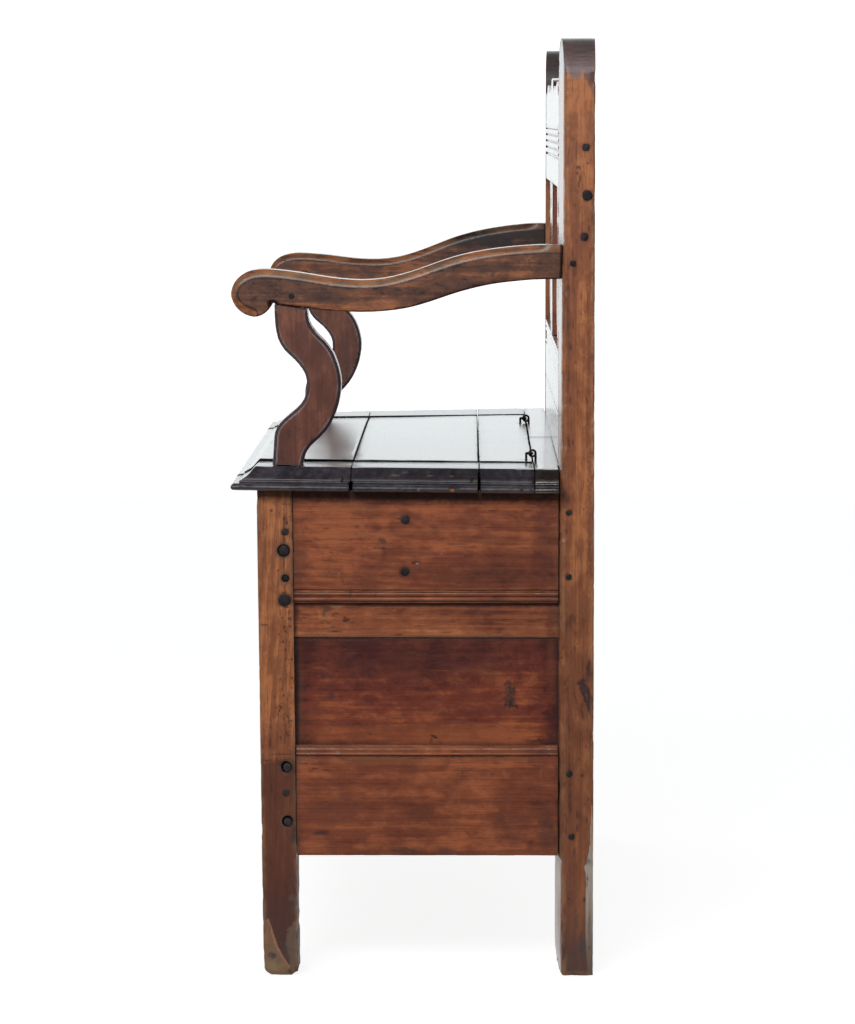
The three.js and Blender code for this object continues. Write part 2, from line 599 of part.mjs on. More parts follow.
// ---------------------------------------------------------------------------
// Arms and their S-shaped supports, outlines in (y, z)
// ---------------------------------------------------------------------------
const ARM_TOP = [
  [-193.4, 728.2], [-191.9, 736.4], [-187.8, 743.8], [-181, 749.9], [-172.9, 753.6],
  [-161.5, 755.3], [-150.5, 755.1], [-137.5, 753.9], [-117.2, 751.3], [-96.9, 747.9],
  [-76.5, 745.2], [-52.1, 743.9], [-29, 745.9], [-8.7, 750.7], [9.6, 756.6], [24.5, 762.0],
  [39.5, 767.1], [54.4, 771.2], [69.3, 774.4], [84.2, 776.8], [99.2, 778.7], [114, 780.1],
  [128.9, 781.1], [143.9, 781.4], [BACK_POST_Y0 - FIT, 780.9],
];
const ARM_UNDER = [
  [BACK_POST_Y0 - FIT, 745], [128.8, 744.3], [113.9, 743.1], [99.1, 741.6], [84.1, 739.5],
  [69.3, 736.5], [54.5, 732.7], [39.6, 728.2], [24.6, 723], [9.8, 718.2], [-5.1, 714.4],
  [-21.9, 711.7], [-45, 709.9], [-69.3, 710.1], [-89.7, 711.2], [-109.9, 713.3],
  [-134.4, 716.9], [-146.5, 718.5], [-152, 721.6],
];
const ARM_SCROLL = [
  [-149.6, 718.1], [-154.7, 710.5], [-161.5, 706], [-169.5, 704.6], [-179.1, 707.5],
  [-187.1, 713.9], [-191.4, 721],
];
const SUPPORT_REAR = [
  [-111.9, 712.8], [-110.8, 702], [-107.3, 693.8], [-100.5, 685.6], [-92.4, 677.5],
  [-85.5, 668], [-80.7, 657], [-77.3, 644.7], [-76.1, 632.4], [-77.4, 620],
  [-80.2, 607.7], [-85.6, 594.1], [-93.8, 581.7], [-103.5, 572.2], [-110.2, 565.3],
  [-114.4, 558.4], [-116, 552.5], [-116.8, 546.7],
];
const SUPPORT_FRONT = [
  [-149.5, 547.0], [-148.3, 562.5], [-147.6, 576.1], [-145.6, 585.6], [-140.1, 593.1],
  [-131.9, 600.6], [-123.8, 607.4], [-117, 615.5], [-113.6, 625.1], [-112.9, 635.9],
  [-115.6, 645.4], [-121, 653.6], [-127.8, 661], [-135.8, 668.4], [-142, 677.9],
  [-145.4, 688.7], [-146.9, 702.3], [-147.3, 717.9],
];

// The left arm starts a little higher and falls further than the right one,
// and its support is shorter to match.
function leftFall(y) {
  return LEFT_ARM_RISE - LEFT_ARM_FALL * Math.min(1.05, Math.max(0, (150 - y) / 311));
}
function lowered(g, share) {
  const p = g.attributes.position;
  for (let i = 0; i < p.count; i++) {
    const z = p.getZ(i);
    p.setZ(i, z + leftFall(p.getY(i)) * share(z));
  }
  return g;
}

// smooth curve through a list of points, ends kept
function smooth(points, n) {
  const curve = new THREE.SplineCurve(points.map(([a, b]) => new THREE.Vector2(a, b)));
  return curve.getPoints(n).map((p) => [p.x, p.y]);
}
{
  const scrollAndTop = smooth([...ARM_SCROLL, ...ARM_TOP], 64);
  const outline = [...scrollAndTop, ...smooth(ARM_UNDER.slice(0, -1), 30), ARM_UNDER[ARM_UNDER.length - 1]];
  let arm = prismX(outline, ARM_X0, ARM_X1);
  arm = arm.add(box(492, 508, BACK_POST_Y0 - 2, 183, 752, 775));
  arm = arm.subtract(box(491.7, 508.3, -139.3, -122.7, 700, 730.4));
  add(arms, 'arm_right', arm, WOOD.arm);
  add(arms, 'arm_left', lowered(mirrored(geometryOf(arm)), () => 1), WOOD.arm);

  const s = [...smooth(SUPPORT_REAR, 26), ...smooth(SUPPORT_FRONT, 26), [-134.4, 716.4]];
  let support = prismX(s, ARM_X0, ARM_X1);
  support = support.add(box(492, 508, -139, -123, 710, 730));
  support = support.add(box(490, 510, -145, -131, 500, 549));
  add(arms, 'arm_support_right', support, WOOD.support);
  add(arms, 'arm_support_left',
    lowered(mirrored(geometryOf(support)), (z) => Math.max(0, (z - 546) / 172)), WOOD.support);
}

// ---------------------------------------------------------------------------
// Pegs
// ---------------------------------------------------------------------------
for (const [name, [y, z, r]] of Object.entries(PEGS)) {
  addPair(carcass, name, rodX(y, z, r, PEG_X0, PEG_X1), WOOD.peg, { lean: true });
}

// ---------------------------------------------------------------------------
// Lid: three boards on two battens, and the wire eyes it turns on
// ---------------------------------------------------------------------------
{
  add(lid, 'lid_board_front', frontBoard(-LID_X, LID_X, BOARD_JOINT_1 - 0.2), WOOD.seat, { tilt: true });
  add(lid, 'lid_board_middle',
    box(-LID_X, LID_X, BOARD_JOINT_1 + 0.2, BOARD_JOINT_2 - 0.2, SEAT_UNDER, SEAT_TOP), WOOD.seat, { tilt: true });
  let rear = box(-LID_X, LID_X, BOARD_JOINT_2 + 0.2, HINGE_GAP_Y0, SEAT_UNDER, SEAT_TOP);
  for (const hx of [HINGE_X_RIGHT, HINGE_X_LEFT]) {
    rear = rear.subtract(rodZ(hx, HINGE_Y - 2 * EYE_R, WIRE_R + FIT, SEAT_UNDER - 3, SEAT_TOP + 3));
  }
  add(lid, 'lid_board_rear', rear, WOOD.seat, { tilt: true });
  addPair(lid, 'lid_batten', box(296, 341, -118, 108, 501, LEG_TOP), WOOD.inner, { tilt: true });

  for (const [side, hx] of [['right', HINGE_X_RIGHT], ['left', HINGE_X_LEFT]]) {
    // eye in the rear board: ring standing across the hinge line
    const ring = new THREE.TorusGeometry(EYE_R, WIRE_R, 8, 20);
    ring.rotateY(Math.PI / 2);
    ring.translate(hx, HINGE_Y, HINGE_Z);
    const fixed = solidOf(ring).add(rodZ(hx, HINGE_Y + EYE_R, WIRE_R, SEAT_UNDER - 12, HINGE_Z));
    add(seat, `hinge_eye_fixed_${side}`, fixed, IRON);
    // eye in the lid: ring lying through the first one
    const loop = new THREE.TorusGeometry(EYE_R, WIRE_R, 8, 20);
    loop.translate(hx, HINGE_Y - EYE_R, HINGE_Z);
    const moving = solidOf(loop).add(rodZ(hx, HINGE_Y - 2 * EYE_R, WIRE_R, SEAT_UNDER - 12, HINGE_Z));
    add(lid, `hinge_eye_lid_${side}`, moving, IRON);
  }
}

export default bench;
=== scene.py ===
import bisect
import json
import math
import bpy
import bmesh
import numpy as np
from mathutils import Vector, Matrix
from mathutils.bvhtree import BVHTree
from mathutils.kdtree import KDTree


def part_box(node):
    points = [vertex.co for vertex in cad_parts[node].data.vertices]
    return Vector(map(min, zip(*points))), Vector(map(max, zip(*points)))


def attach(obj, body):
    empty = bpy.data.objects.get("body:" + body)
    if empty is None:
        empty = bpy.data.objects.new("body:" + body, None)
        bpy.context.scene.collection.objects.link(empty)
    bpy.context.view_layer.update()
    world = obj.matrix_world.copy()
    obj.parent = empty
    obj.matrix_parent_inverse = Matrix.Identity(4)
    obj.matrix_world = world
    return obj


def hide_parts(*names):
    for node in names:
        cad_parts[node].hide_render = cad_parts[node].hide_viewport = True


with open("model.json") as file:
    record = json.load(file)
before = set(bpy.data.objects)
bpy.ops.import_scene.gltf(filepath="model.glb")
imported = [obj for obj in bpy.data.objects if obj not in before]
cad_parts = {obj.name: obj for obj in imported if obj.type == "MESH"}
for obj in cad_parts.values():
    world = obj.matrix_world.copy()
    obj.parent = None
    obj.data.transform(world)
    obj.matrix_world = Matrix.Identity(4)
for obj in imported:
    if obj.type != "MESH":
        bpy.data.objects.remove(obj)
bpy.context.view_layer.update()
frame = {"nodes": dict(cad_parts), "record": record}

scene = bpy.context.scene
MM = 0.001
NODES = frame["nodes"]
NODE_BODY = {}
for body_name, members in frame["record"]["behaviour"]["bodies"].items():
    for member in members:
        NODE_BODY[member] = body_name


# ---------------------------------------------------------------------------
# Camera: end elevation, from a little above the arms
# ---------------------------------------------------------------------------
def make_camera():
    yaw, pitch, roll = math.radians(0.48018), math.radians(4.54204), math.radians(0.0129)
    forward = Vector((-math.cos(yaw) * math.cos(pitch), -math.sin(yaw) * math.cos(pitch), -math.sin(pitch)))
    right = Vector((-math.sin(yaw), math.cos(yaw), 0.0))
    up = right.cross(forward)
    r2 = right * math.cos(roll) + up * math.sin(roll)
    u2 = up * math.cos(roll) - right * math.sin(roll)
    cam = bpy.data.cameras.new("camera")
    cam.sensor_fit = "VERTICAL"
    cam.sensor_height = 24.0
    cam.lens = 4958.85 / 1024.0 * 24.0
    cam.clip_start = 0.1
    cam.clip_end = 60.0
    ob = bpy.data.objects.new("camera", cam)
    scene.collection.objects.link(ob)
    m = Matrix.Identity(4)
    for i in range(3):
        m[i][0], m[i][1], m[i][2] = r2[i], u2[i], -forward[i]
    m[0][3], m[1][3], m[2][3] = 5.784, 0.05968, 0.91513
    ob.matrix_world = m
    scene.camera = ob


def spot(u, v, x):
    """The point of the upright plane X = x (mm) that lies at u, v on the end elevation; metres."""
    yaw, pitch, roll = math.radians(0.48018), math.radians(4.54204), math.radians(0.0129)
    forward = Vector((-math.cos(yaw) * math.cos(pitch), -math.sin(yaw) * math.cos(pitch), -math.sin(pitch)))
    right = Vector((-math.sin(yaw), math.cos(yaw), 0.0))
    up = right.cross(forward)
    r2 = right * math.cos(roll) + up * math.sin(roll)
    u2 = up * math.cos(roll) - right * math.sin(roll)
    d = forward * 4958.85 + r2 * (u - 427.5) - u2 * (v - 512.0)
    c = Vector((5.784, 0.05968, 0.91513))
    return c + d * ((x * 0.001 - c.x) / d.x)


# ---------------------------------------------------------------------------
# Value noise on numpy arrays, the same on every run
# ---------------------------------------------------------------------------
def _hash(ix, iy, iz, seed):
    h = (ix.astype(np.int64) * 374761393 + iy.astype(np.int64) * 668265263
         + iz.astype(np.int64) * 2147483647 + seed * 974634777) & 0xFFFFFFFF
    h = ((h ^ (h >> 13)) * 1274126177) & 0xFFFFFFFF
    h = ((h ^ (h >> 16)) * 2246822519) & 0xFFFFFFFF
    return ((h ^ (h >> 15)) & 0xFFFFFF) / float(0xFFFFFF)


def vnoise(p, scale, seed=0):
    """Smooth noise from 0 to 1 at the points p; scale is one number or three, in cells per metre."""
    q = np.asarray(p, float) * np.asarray(scale, float)
    i = np.floor(q).astype(np.int64)
    f = q - i
    f = f * f * (3 - 2 * f)
    out = 0
    for dx in (0, 1):
        wx = f[:, 0] if dx else 1 - f[:, 0]
        for dy in (0, 1):
            wy = f[:, 1] if dy else 1 - f[:, 1]
            for dz in (0, 1):
                wz = f[:, 2] if dz else 1 - f[:, 2]
                out = out + wx * wy * wz * _hash(i[:, 0] + dx, i[:, 1] + dy, i[:, 2] + dz, seed)
    return out


def fbm(p, scale, octaves=3, seed=0):
    scale = np.asarray(scale, float)
    total, amp, norm = 0, 1.0, 0
    for k in range(octaves):
        total = total + amp * vnoise(p, scale * 2 ** k, seed + 17 * k)
        norm += amp
        amp *= 0.5
    return total / norm


def smooth(a, b, x):
    t = np.clip((x - a) / (b - a), 0, 1)
    return t * t * (3 - 2 * t)


# ---------------------------------------------------------------------------
# Node trees
# ---------------------------------------------------------------------------
class Tree:
    def __init__(self, tree):
        self.t = tree
        self.t.nodes.clear()

    def new(self, kind, **props):
        n = self.t.nodes.new(kind)
        for k, v in props.items():
            setattr(n, k, v)
        return n

    def put(self, socket, value):
        if isinstance(value, bpy.types.NodeSocket):
            self.t.links.new(value, socket)
        elif value is not None:
            if hasattr(socket.default_value, "__len__") and not hasattr(value, "__len__"):
                value = (value,) * len(socket.default_value)
            if hasattr(value, "__len__") and len(value) == 3 and len(socket.default_value) == 4:
                value = (*value, 1.0)
            socket.default_value = value

    def math(self, op, a, b=None, c=None, clamp=False):
        n = self.new("ShaderNodeMath", operation=op, use_clamp=clamp)
        self.put(n.inputs[0], a)
        if b is not None:
            self.put(n.inputs[1], b)
        if c is not None:
            self.put(n.inputs[2], c)
        return n.outputs[0]

    def vmath(self, op, a, b=None):
        n = self.new("ShaderNodeVectorMath", operation=op)
        self.put(n.inputs[0], a)
        if b is not None:
            self.put(n.inputs[1], b)
        return n.outputs[0]

    def mix(self, fac, a, b, blend="MIX"):
        n = self.new("ShaderNodeMix", data_type="RGBA", blend_type=blend)
        n.clamp_factor = True
        self.put(n.inputs[0], fac)
        self.put(n.inputs[6], a)
        self.put(n.inputs[7], b)
        return n.outputs[2]

    def noise(self, vec, scale=1.0, detail=2.0, rough=0.5, distortion=0.0):
        n = self.new("ShaderNodeTexNoise")
        self.put(n.inputs["Vector"], vec)
        n.inputs["Scale"].default_value = scale
        n.inputs["Detail"].default_value = detail
        n.inputs["Roughness"].default_value = rough
        n.inputs["Distortion"].default_value = distortion
        return n.outputs[0]

    def ramp(self, x, lo, hi, out_lo=0.0, out_hi=1.0, kind="SMOOTHSTEP"):
        n = self.new("ShaderNodeMapRange", interpolation_type=kind)
        n.clamp = True
        self.put(n.inputs[0], x)
        self.put(n.inputs[1], lo)
        self.put(n.inputs[2], hi)
        self.put(n.inputs[3], out_lo)
        self.put(n.inputs[4], out_hi)
        return n.outputs[0]

    def attribute(self, name):
        n = self.new("ShaderNodeAttribute", attribute_name=name)
        return n.outputs["Fac"]


def srgb(r, g, b):
    def f(c):
        c = c / 255.0
        return c / 12.92 if c <= 0.04045 else ((c + 0.055) / 1.055) ** 2.4
    return (f(r), f(g), f(b))


# Wood colours: dark, middle and light tone, stain, and the tone of a rubbed edge; for the supports the stain and edge
# colours serve as the painted bluish reflection on the chamfers and the painted highlight beside them, for the arms the
# edge colour is the painted highlight band along the upper edge
WOOD = {
    "post": dict(dark=(92, 48, 34), mid=(154, 90, 56), light=(202, 126, 76), edge=(184, 132, 92),
                 stain=(44, 34, 34), rough=0.44, coat=0.10, side=0.9, fig=0.35, ior=1.42, con=2.1),
    "rail": dict(dark=(82, 36, 26), mid=(134, 68, 43), light=(182, 101, 61), edge=(164, 104, 66),
                 stain=(46, 33, 32), rough=0.42, coat=0.10, side=0.4, fig=0.22, ior=1.40),
    "back": dict(dark=(92, 44, 31), mid=(138, 72, 48), light=(174, 98, 62), edge=(178, 116, 74),
                 stain=(50, 36, 34), rough=0.26, coat=0.30, side=0.95, fig=0.3),
    "panel": dict(dark=(78, 29, 24), mid=(130, 59, 40), light=(186, 100, 58), edge=(150, 90, 60),
                  stain=(46, 32, 32), rough=0.40, coat=0.12, side=0.4, fig=0.12, ior=1.40),
    "strip": dict(dark=(104, 46, 28), mid=(158, 86, 51), light=(208, 126, 75), edge=(184, 124, 78),
                  stain=(50, 38, 36), rough=0.44, coat=0.10, side=0.3, fig=0.4, ior=1.42),
    "seat": dict(dark=(30, 23, 23), mid=(56, 41, 38), light=(88, 64, 54), edge=(100, 90, 86),
                 stain=(14, 12, 14), rough=0.28, coat=0.85, side=0.85, fig=0.3),
    "nose": dict(dark=(24, 22, 27), mid=(46, 42, 50), light=(76, 69, 78), edge=(88, 80, 84),
                 stain=(9, 8, 10), rough=0.42, coat=0.02, side=0.85, fig=0.2, ior=1.44),
    # the arm's edge colour is the painted highlight along the rounded upper edge
    "arm": dict(dark=(50, 30, 26), mid=(116, 71, 51), light=(182, 112, 70), edge=(156, 134, 102),
                stain=(30, 24, 27), rough=0.40, coat=0.18, side=0.9, fig=0.3, con=2.5, ior=1.42),
    # the support's stain and edge colours are the painted reflection on the chamfers and the painted highlight beside
    # them
    "support": dict(dark=(72, 38, 33), mid=(112, 66, 54), light=(154, 94, 70), edge=(168, 162, 164),
                    stain=(66, 66, 74), rough=0.36, coat=0.22, side=0.6, fig=0.12, con=1.7, ior=1.42),
    "inner": dict(dark=(104, 78, 56), mid=(140, 108, 80), light=(170, 136, 102), edge=(150, 120, 92),
                  stain=(70, 54, 42), rough=0.75, coat=0.0, side=0.0, fig=0.8),
    "peg": dict(dark=(14, 12, 13), mid=(30, 25, 27), light=(58, 48, 48), edge=(60, 52, 52),
                stain=(8, 7, 8), rough=0.60, coat=0.0, side=0.0, fig=0.3, con=2.8, ior=1.35),
}


def mark(u, v, a, b, color, amount=0.8, angle=0.0, soft=0.5, wob=0.5, depth=0.0, x=None, rx=20.0):
    """A single painted mark, of age, or in a few places a line of painted shade or painted highlight: place and half
    sizes on the end elevation, angle in degrees.
    """
    return dict(u=u, v=v, a=a, b=b, color=color, amount=amount, angle=angle, soft=soft, wob=wob, depth=depth,
                x=x, rx=rx)


def patch(points, color, amount=0.8, soft=0.6, wob=0.5, depth=0.0, x=None, rx=20.0):
    """A patch of another colour with a drawn outline; soft and wob in mm."""
    return dict(poly=points, color=color, amount=amount, soft=soft, wob=wob, depth=depth, x=x, rx=rx)


def wood_material(name, kind, axis="Z", seed=0, pith=(0.02, 0.08), ring=0.0085, warm=0.0, gain=1.0,
                  bump=1.0, specks=1.0, edge=0.55, marked=False, head=None, foot=None):
    """Old waxed wood. axis is the way the grain runs; seed shifts the figure."""
    c = WOOD[kind]
    mat = bpy.data.materials.new(name)
    mat.use_nodes = True
    T = Tree(mat.node_tree)
    co = T.new("ShaderNodeTexCoord").outputs["Object"]
    sep = T.new("ShaderNodeSeparateXYZ")
    T.put(sep.inputs[0], co)
    x, y, z = sep.outputs
    order = {"X": (x, y, z), "Y": (y, z, x), "Z": (z, y, x)}[axis]
    comb = T.new("ShaderNodeCombineXYZ")
    rng = np.random.default_rng(seed + 101)
    shift = rng.uniform(-20, 20, 3)
    for i in range(3):
        T.put(comb.inputs[i], T.math("ADD", order[i], float(round(shift[i], 3)) if i == 0 else 0.0))
    base = comb.outputs[0]                      # (along, across, across)
    off = T.vmath("ADD", base, (0.0, float(round(shift[1], 3)), float(round(shift[2], 3))))

    def scaled(v, s):
        return T.vmath("MULTIPLY", v, s)

    # slow wander of the fibres
    w1 = T.noise(scaled(off, (2.0, 9.0, 9.0)), 1.0, 2.0, 0.5)
    w2 = T.noise(scaled(off, (5.0, 22.0, 22.0)), 1.0, 1.0, 0.5)
    wander = T.math("ADD", T.math("MULTIPLY", T.math("SUBTRACT", w1, 0.5), 0.055),
                    T.math("MULTIPLY", T.math("SUBTRACT", w2, 0.5), 0.012))

    # growth rings round a pith that lies outside the board and is not quite parallel to it
    sp = T.new("ShaderNodeSeparateXYZ")
    T.put(sp.inputs[0], base)
    tilt = float(rng.uniform(-0.10, 0.10))
    b = T.math("ADD", T.math("ADD", sp.outputs[1], T.math("MULTIPLY", sp.outputs[0], tilt)),
               T.math("ADD", wander, pith[0]))
    d = T.math("ADD", sp.outputs[2], pith[1])
    r = T.math("SQRT", T.math("ADD", T.math("MULTIPLY", b, b), T.math("MULTIPLY", d, d)))
    saw = T.math("FRACT", T.math("DIVIDE", r, ring))
    ringm = T.ramp(saw, 0.15, 1.0, 0.0, 1.0)
    ringm = T.math("MULTIPLY", ringm, T.ramp(saw, 0.96, 1.0, 1.0, 0.0))

    streak = T.noise(scaled(off, (5.0, 150.0, 150.0)), 1.0, 3.0, 0.62, 0.25)
    fine = T.noise(scaled(off, (16.0, 620.0, 620.0)), 1.0, 3.0, 0.65)
    band = T.noise(scaled(off, (2.2, 26.0, 26.0)), 1.0, 3.0, 0.55, 0.5)
    blotch = T.noise(scaled(off, (7.0, 13.0, 13.0)), 1.0, 4.0, 0.6, 0.6)
    mottle = T.noise(scaled(off, (45.0, 75.0, 75.0)), 1.0, 3.0, 0.7, 0.4)

    cloud = T.noise(scaled(off, (9.0, 12.0, 12.0)), 1.0, 5.0, 0.62, 0.4)
    tone = T.math("ADD", T.math("MULTIPLY", band, 0.35), T.math("MULTIPLY", blotch, 0.45))
    tone = T.math("ADD", tone, T.math("MULTIPLY", cloud, 0.65))
    tone = T.math("ADD", tone, T.math("MULTIPLY", streak, 0.50))
    tone = T.math("ADD", tone, T.math("MULTIPLY", mottle, 0.50))
    tone = T.math("SUBTRACT", tone, T.math("MULTIPLY", ringm, 0.26 * c["fig"]))
    tone = T.math("ADD", T.math("MULTIPLY", T.math("SUBTRACT", tone, 1.15), c.get("con", 1.9)), 1.12)
    tone = T.math("ADD", tone, T.math("MULTIPLY", T.attribute("tone"), 0.9))
    tone = T.math("ADD", tone, warm)
    dark, mid, light = (srgb(*c[k]) for k in ("dark", "mid", "light"))
    dark, mid, light = (tuple(v * gain for v in q) for q in (dark, mid, light))
    col = T.mix(T.ramp(tone, 0.62, 1.16), dark, mid)
    col = T.mix(T.ramp(tone, 1.12, 1.62), col, light)
    # fibres and pores
    col = T.mix(T.ramp(fine, 0.50, 0.72, 0.0, 0.42), col, dark)
    pores = T.noise(scaled(off, (55.0, 1250.0, 1250.0)), 1.0, 1.0, 0.5)
    porem = T.ramp(pores, 0.64, 0.74)
    col = T.mix(T.math("MULTIPLY", porem, 0.5), col, srgb(*c["stain"]))

    # old stains in the wax, and those painted on; the painted ones include painted shade in the joints and under the
    # arms, and the painted reflection on the support chamfers
    st = T.noise(scaled(off, (11.0, 24.0, 24.0)), 1.0, 5.0, 0.72, 0.9)
    stain = T.ramp(T.math("ADD", st, T.math("MULTIPLY", T.attribute("stain"), 0.55)), 0.66, 0.86)
    col = T.mix(T.math("MULTIPLY", stain, 0.72), col, srgb(*c["stain"]))

    # worm holes, dents and short scratches
    vor = T.new("ShaderNodeTexVoronoi", feature="F1", voronoi_dimensions="3D")
    T.put(vor.inputs["Vector"], scaled(off, (1.0, 1.0, 1.0)))
    vor.inputs["Scale"].default_value = 58.0
    sc = T.new("ShaderNodeSeparateColor")
    T.put(sc.inputs[0], vor.outputs["Color"])
    clump = T.noise(scaled(off, (9.0, 16.0, 16.0)), 1.0, 2.0, 0.5)
    present = T.math("GREATER_THAN", T.math("ADD", sc.outputs[0], T.math("MULTIPLY", clump, 0.9)), 1.40 - 0.10 * specks)
    hole = T.math("MULTIPLY", T.ramp(vor.outputs["Distance"], 0.035, 0.075, 1.0, 0.0), present)
    dash = T.noise(scaled(off, (70.0, 420.0, 420.0)), 1.0, 2.0, 0.6, 0.3)
    dashm = T.math("MULTIPLY", T.ramp(dash, 0.745, 0.79), specks, clamp=True)
    marks = T.math("MAXIMUM", hole, dashm)
    col = T.mix(T.math("MULTIPLY", marks, 0.86), col, tuple(v * 0.5 for v in srgb(*c["stain"])))

    # bare weathered wood
    bn = T.noise(scaled(off, (18.0, 90.0, 90.0)), 1.0, 4.0, 0.6)
    bare = T.ramp(T.math("ADD", T.attribute("bare"), T.math("MULTIPLY", T.math("SUBTRACT", bn, 0.5), 0.7)), 0.35, 0.65)
    col = T.mix(T.math("MULTIPLY", bare, 0.93), col, T.mix(T.ramp(bn, 0.35, 0.62), srgb(252, 246, 234), srgb(234, 224, 206)))

    # end grain at the top, and the darker timber and bare wood near the floor; on the back posts the darkening from the
    # seat down is also painted shade for the light falling off towards the floor
    ragged = T.noise(scaled(off, (14.0, 210.0, 210.0)), 1.0, 3.0, 0.6)
    if head is not None:
        hz = T.math("ADD", z, T.math("MULTIPLY", T.math("SUBTRACT", ragged, 0.5), 0.034))
        hm = T.ramp(hz, head[0], head[1])
        lines = T.noise(T.vmath("MULTIPLY", co, (60.0, 60.0, 900.0)), 1.0, 2.0, 0.6, 0.6)
        grey = T.mix(T.ramp(z, head[1] + 0.004, head[1] + 0.030), srgb(120, 104, 108), srgb(86, 82, 84))
        deep = T.ramp(T.math("ADD", T.math("MULTIPLY", lines, 0.5), T.math("MULTIPLY", cloud, 0.5)), 0.40, 0.62, 0.62, 1.06)
        col = T.mix(T.math("MULTIPLY", hm, 0.93), col, T.vmath("MULTIPLY", grey, deep))
    if foot is not None:
        for z0, z1, color, amount, rag in foot:
            fz = T.math("ADD", z, T.math("MULTIPLY", T.math("SUBTRACT", ragged, 0.5), rag))
            fm = T.ramp(fz, z0, z1, 1.0, 0.0)
            col = T.mix(T.math("MULTIPLY", fm, amount), col, T.mix(band, tuple(v * 0.72 for v in srgb(*color)), tuple(v * 1.2 for v in srgb(*color))))

    # single marks, painted on the mesh
    mk = T.new("ShaderNodeAttribute", attribute_name="mark")
    if marked:
        col = T.mix(mk.outputs["Alpha"], col, T.mix(T.ramp(T.math("ADD", fine, mottle), 0.7, 1.3, 0.0, 0.22), mk.outputs["Color"], mid))

    # rubbed edges (on the arms and supports a painted highlight), and dirt with painted shade near other pieces
    wn = T.noise(scaled(off, (30.0, 60.0, 60.0)), 1.0, 3.0, 0.6)
    wear = T.math("MULTIPLY", T.attribute("wear"), T.ramp(wn, 0.36, 0.66))
    col = T.mix(T.math("MULTIPLY", wear, edge), col, srgb(*c["edge"]))
    dirt_and_shade = T.math("MULTIPLY", T.attribute("contact"), T.ramp(wn, 0.25, 0.70, 0.70, 1.0))
    col = T.mix(T.math("MULTIPLY", dirt_and_shade, 0.80), col, tuple(v * 0.55 for v in srgb(*c["stain"])))

    bs = T.new("ShaderNodeBsdfPrincipled")
    T.put(bs.inputs["Base Color"], col)
    rough = T.math("ADD", c["rough"], T.math("MULTIPLY", T.math("SUBTRACT", mottle, 0.5), 0.22 * min(1.0, bump / 0.3)))
    rough = T.math("ADD", rough, T.math("MULTIPLY", T.math("ADD", bare, T.math("MULTIPLY", dirt_and_shade, 0.5)), 0.35), clamp=True)
    T.put(bs.inputs["Roughness"], rough)
    bs.inputs["IOR"].default_value = c.get("ior", 1.48)
    dull = T.math("MAXIMUM", T.attribute("dull"), T.math("MULTIPLY", marks, 0.6))
    T.put(bs.inputs["Specular IOR Level"], T.ramp(dull, 0.0, 1.0, 0.5, 0.05))
    if c["coat"] > 0:
        # the flat upper and front surfaces keep their polish, the end faces have lost most of it
        ns = T.new("ShaderNodeSeparateXYZ")
        T.put(ns.inputs[0], T.new("ShaderNodeTexCoord").outputs["Normal"])
        facing = T.ramp(T.math("ABSOLUTE", ns.outputs[0]), 0.30, 0.62, c["side"], c["coat"])
        T.put(bs.inputs["Coat Weight"], T.math("MULTIPLY", facing, T.math("SUBTRACT", 1.0, dull), clamp=True))
        bs.inputs["Coat Roughness"].default_value = 0.16
        bs.inputs["Coat IOR"].default_value = 1.45
    # relief
    h = T.math("ADD", T.math("MULTIPLY", streak, 0.30), T.math("MULTIPLY", fine, 0.16))
    h = T.math("ADD", h, T.math("MULTIPLY", mottle, 0.22))
    h = T.math("SUBTRACT", h, T.math("MULTIPLY", porem, 0.12))
    h = T.math("SUBTRACT", h, T.math("MULTIPLY", marks, 0.9 if bump > 0.3 else 0.0))
    h = T.math("SUBTRACT", h, T.math("MULTIPLY", T.math("MULTIPLY", bare, bn), 0.8))
    bp = T.new("ShaderNodeBump")
    bp.inputs["Strength"].default_value = 0.55 * bump
    bp.inputs["Distance"].default_value = 0.0006
    T.put(bp.inputs["Height"], h)
    T.put(bs.inputs["Normal"], bp.outputs[0])
    if c["coat"] > 0:
        wide = T.noise(scaled(off, (14.0, 34.0, 34.0)), 1.0, 3.0, 0.55)
        bp2 = T.new("ShaderNodeBump")
        bp2.inputs["Strength"].default_value = 0.35 * bump
        bp2.inputs["Distance"].default_value = 0.0006
        T.put(bp2.inputs["Height"], T.math("ADD", T.math("MULTIPLY", wide, 1.0), T.math("MULTIPLY", h, 0.35)))
        T.put(bs.inputs["Coat Normal"], bp2.outputs[0])
    out = T.new("ShaderNodeOutputMaterial")
    T.put(out.inputs[0], bs.outputs[0])
    return mat


def iron_material(name):
    mat = bpy.data.materials.new(name)
    mat.use_nodes = True
    T = Tree(mat.node_tree)
    co = T.new("ShaderNodeTexCoord").outputs["Object"]
    n1 = T.noise(co, 420.0, 4.0, 0.65, 0.3)
    n2 = T.noise(co, 1500.0, 3.0, 0.6)
    col = T.mix(T.ramp(n1, 0.46, 0.72), srgb(38, 36, 36), srgb(66, 48, 38))
    bs = T.new("ShaderNodeBsdfPrincipled")
    T.put(bs.inputs["Base Color"], col)
    bs.inputs["Metallic"].default_value = 0.85
    T.put(bs.inputs["Roughness"], T.ramp(n2, 0.3, 0.8, 0.24, 0.50))
    bp = T.new("ShaderNodeBump")
    bp.inputs["Strength"].default_value = 0.5
    bp.inputs["Distance"].default_value = 0.0003
    T.put(bp.inputs["Height"], T.math("ADD", n1, T.math("MULTIPLY", n2, 0.5)))
    T.put(bs.inputs["Normal"], bp.outputs[0])
    out = T.new("ShaderNodeOutputMaterial")
    T.put(out.inputs[0], bs.outputs[0])
    return mat


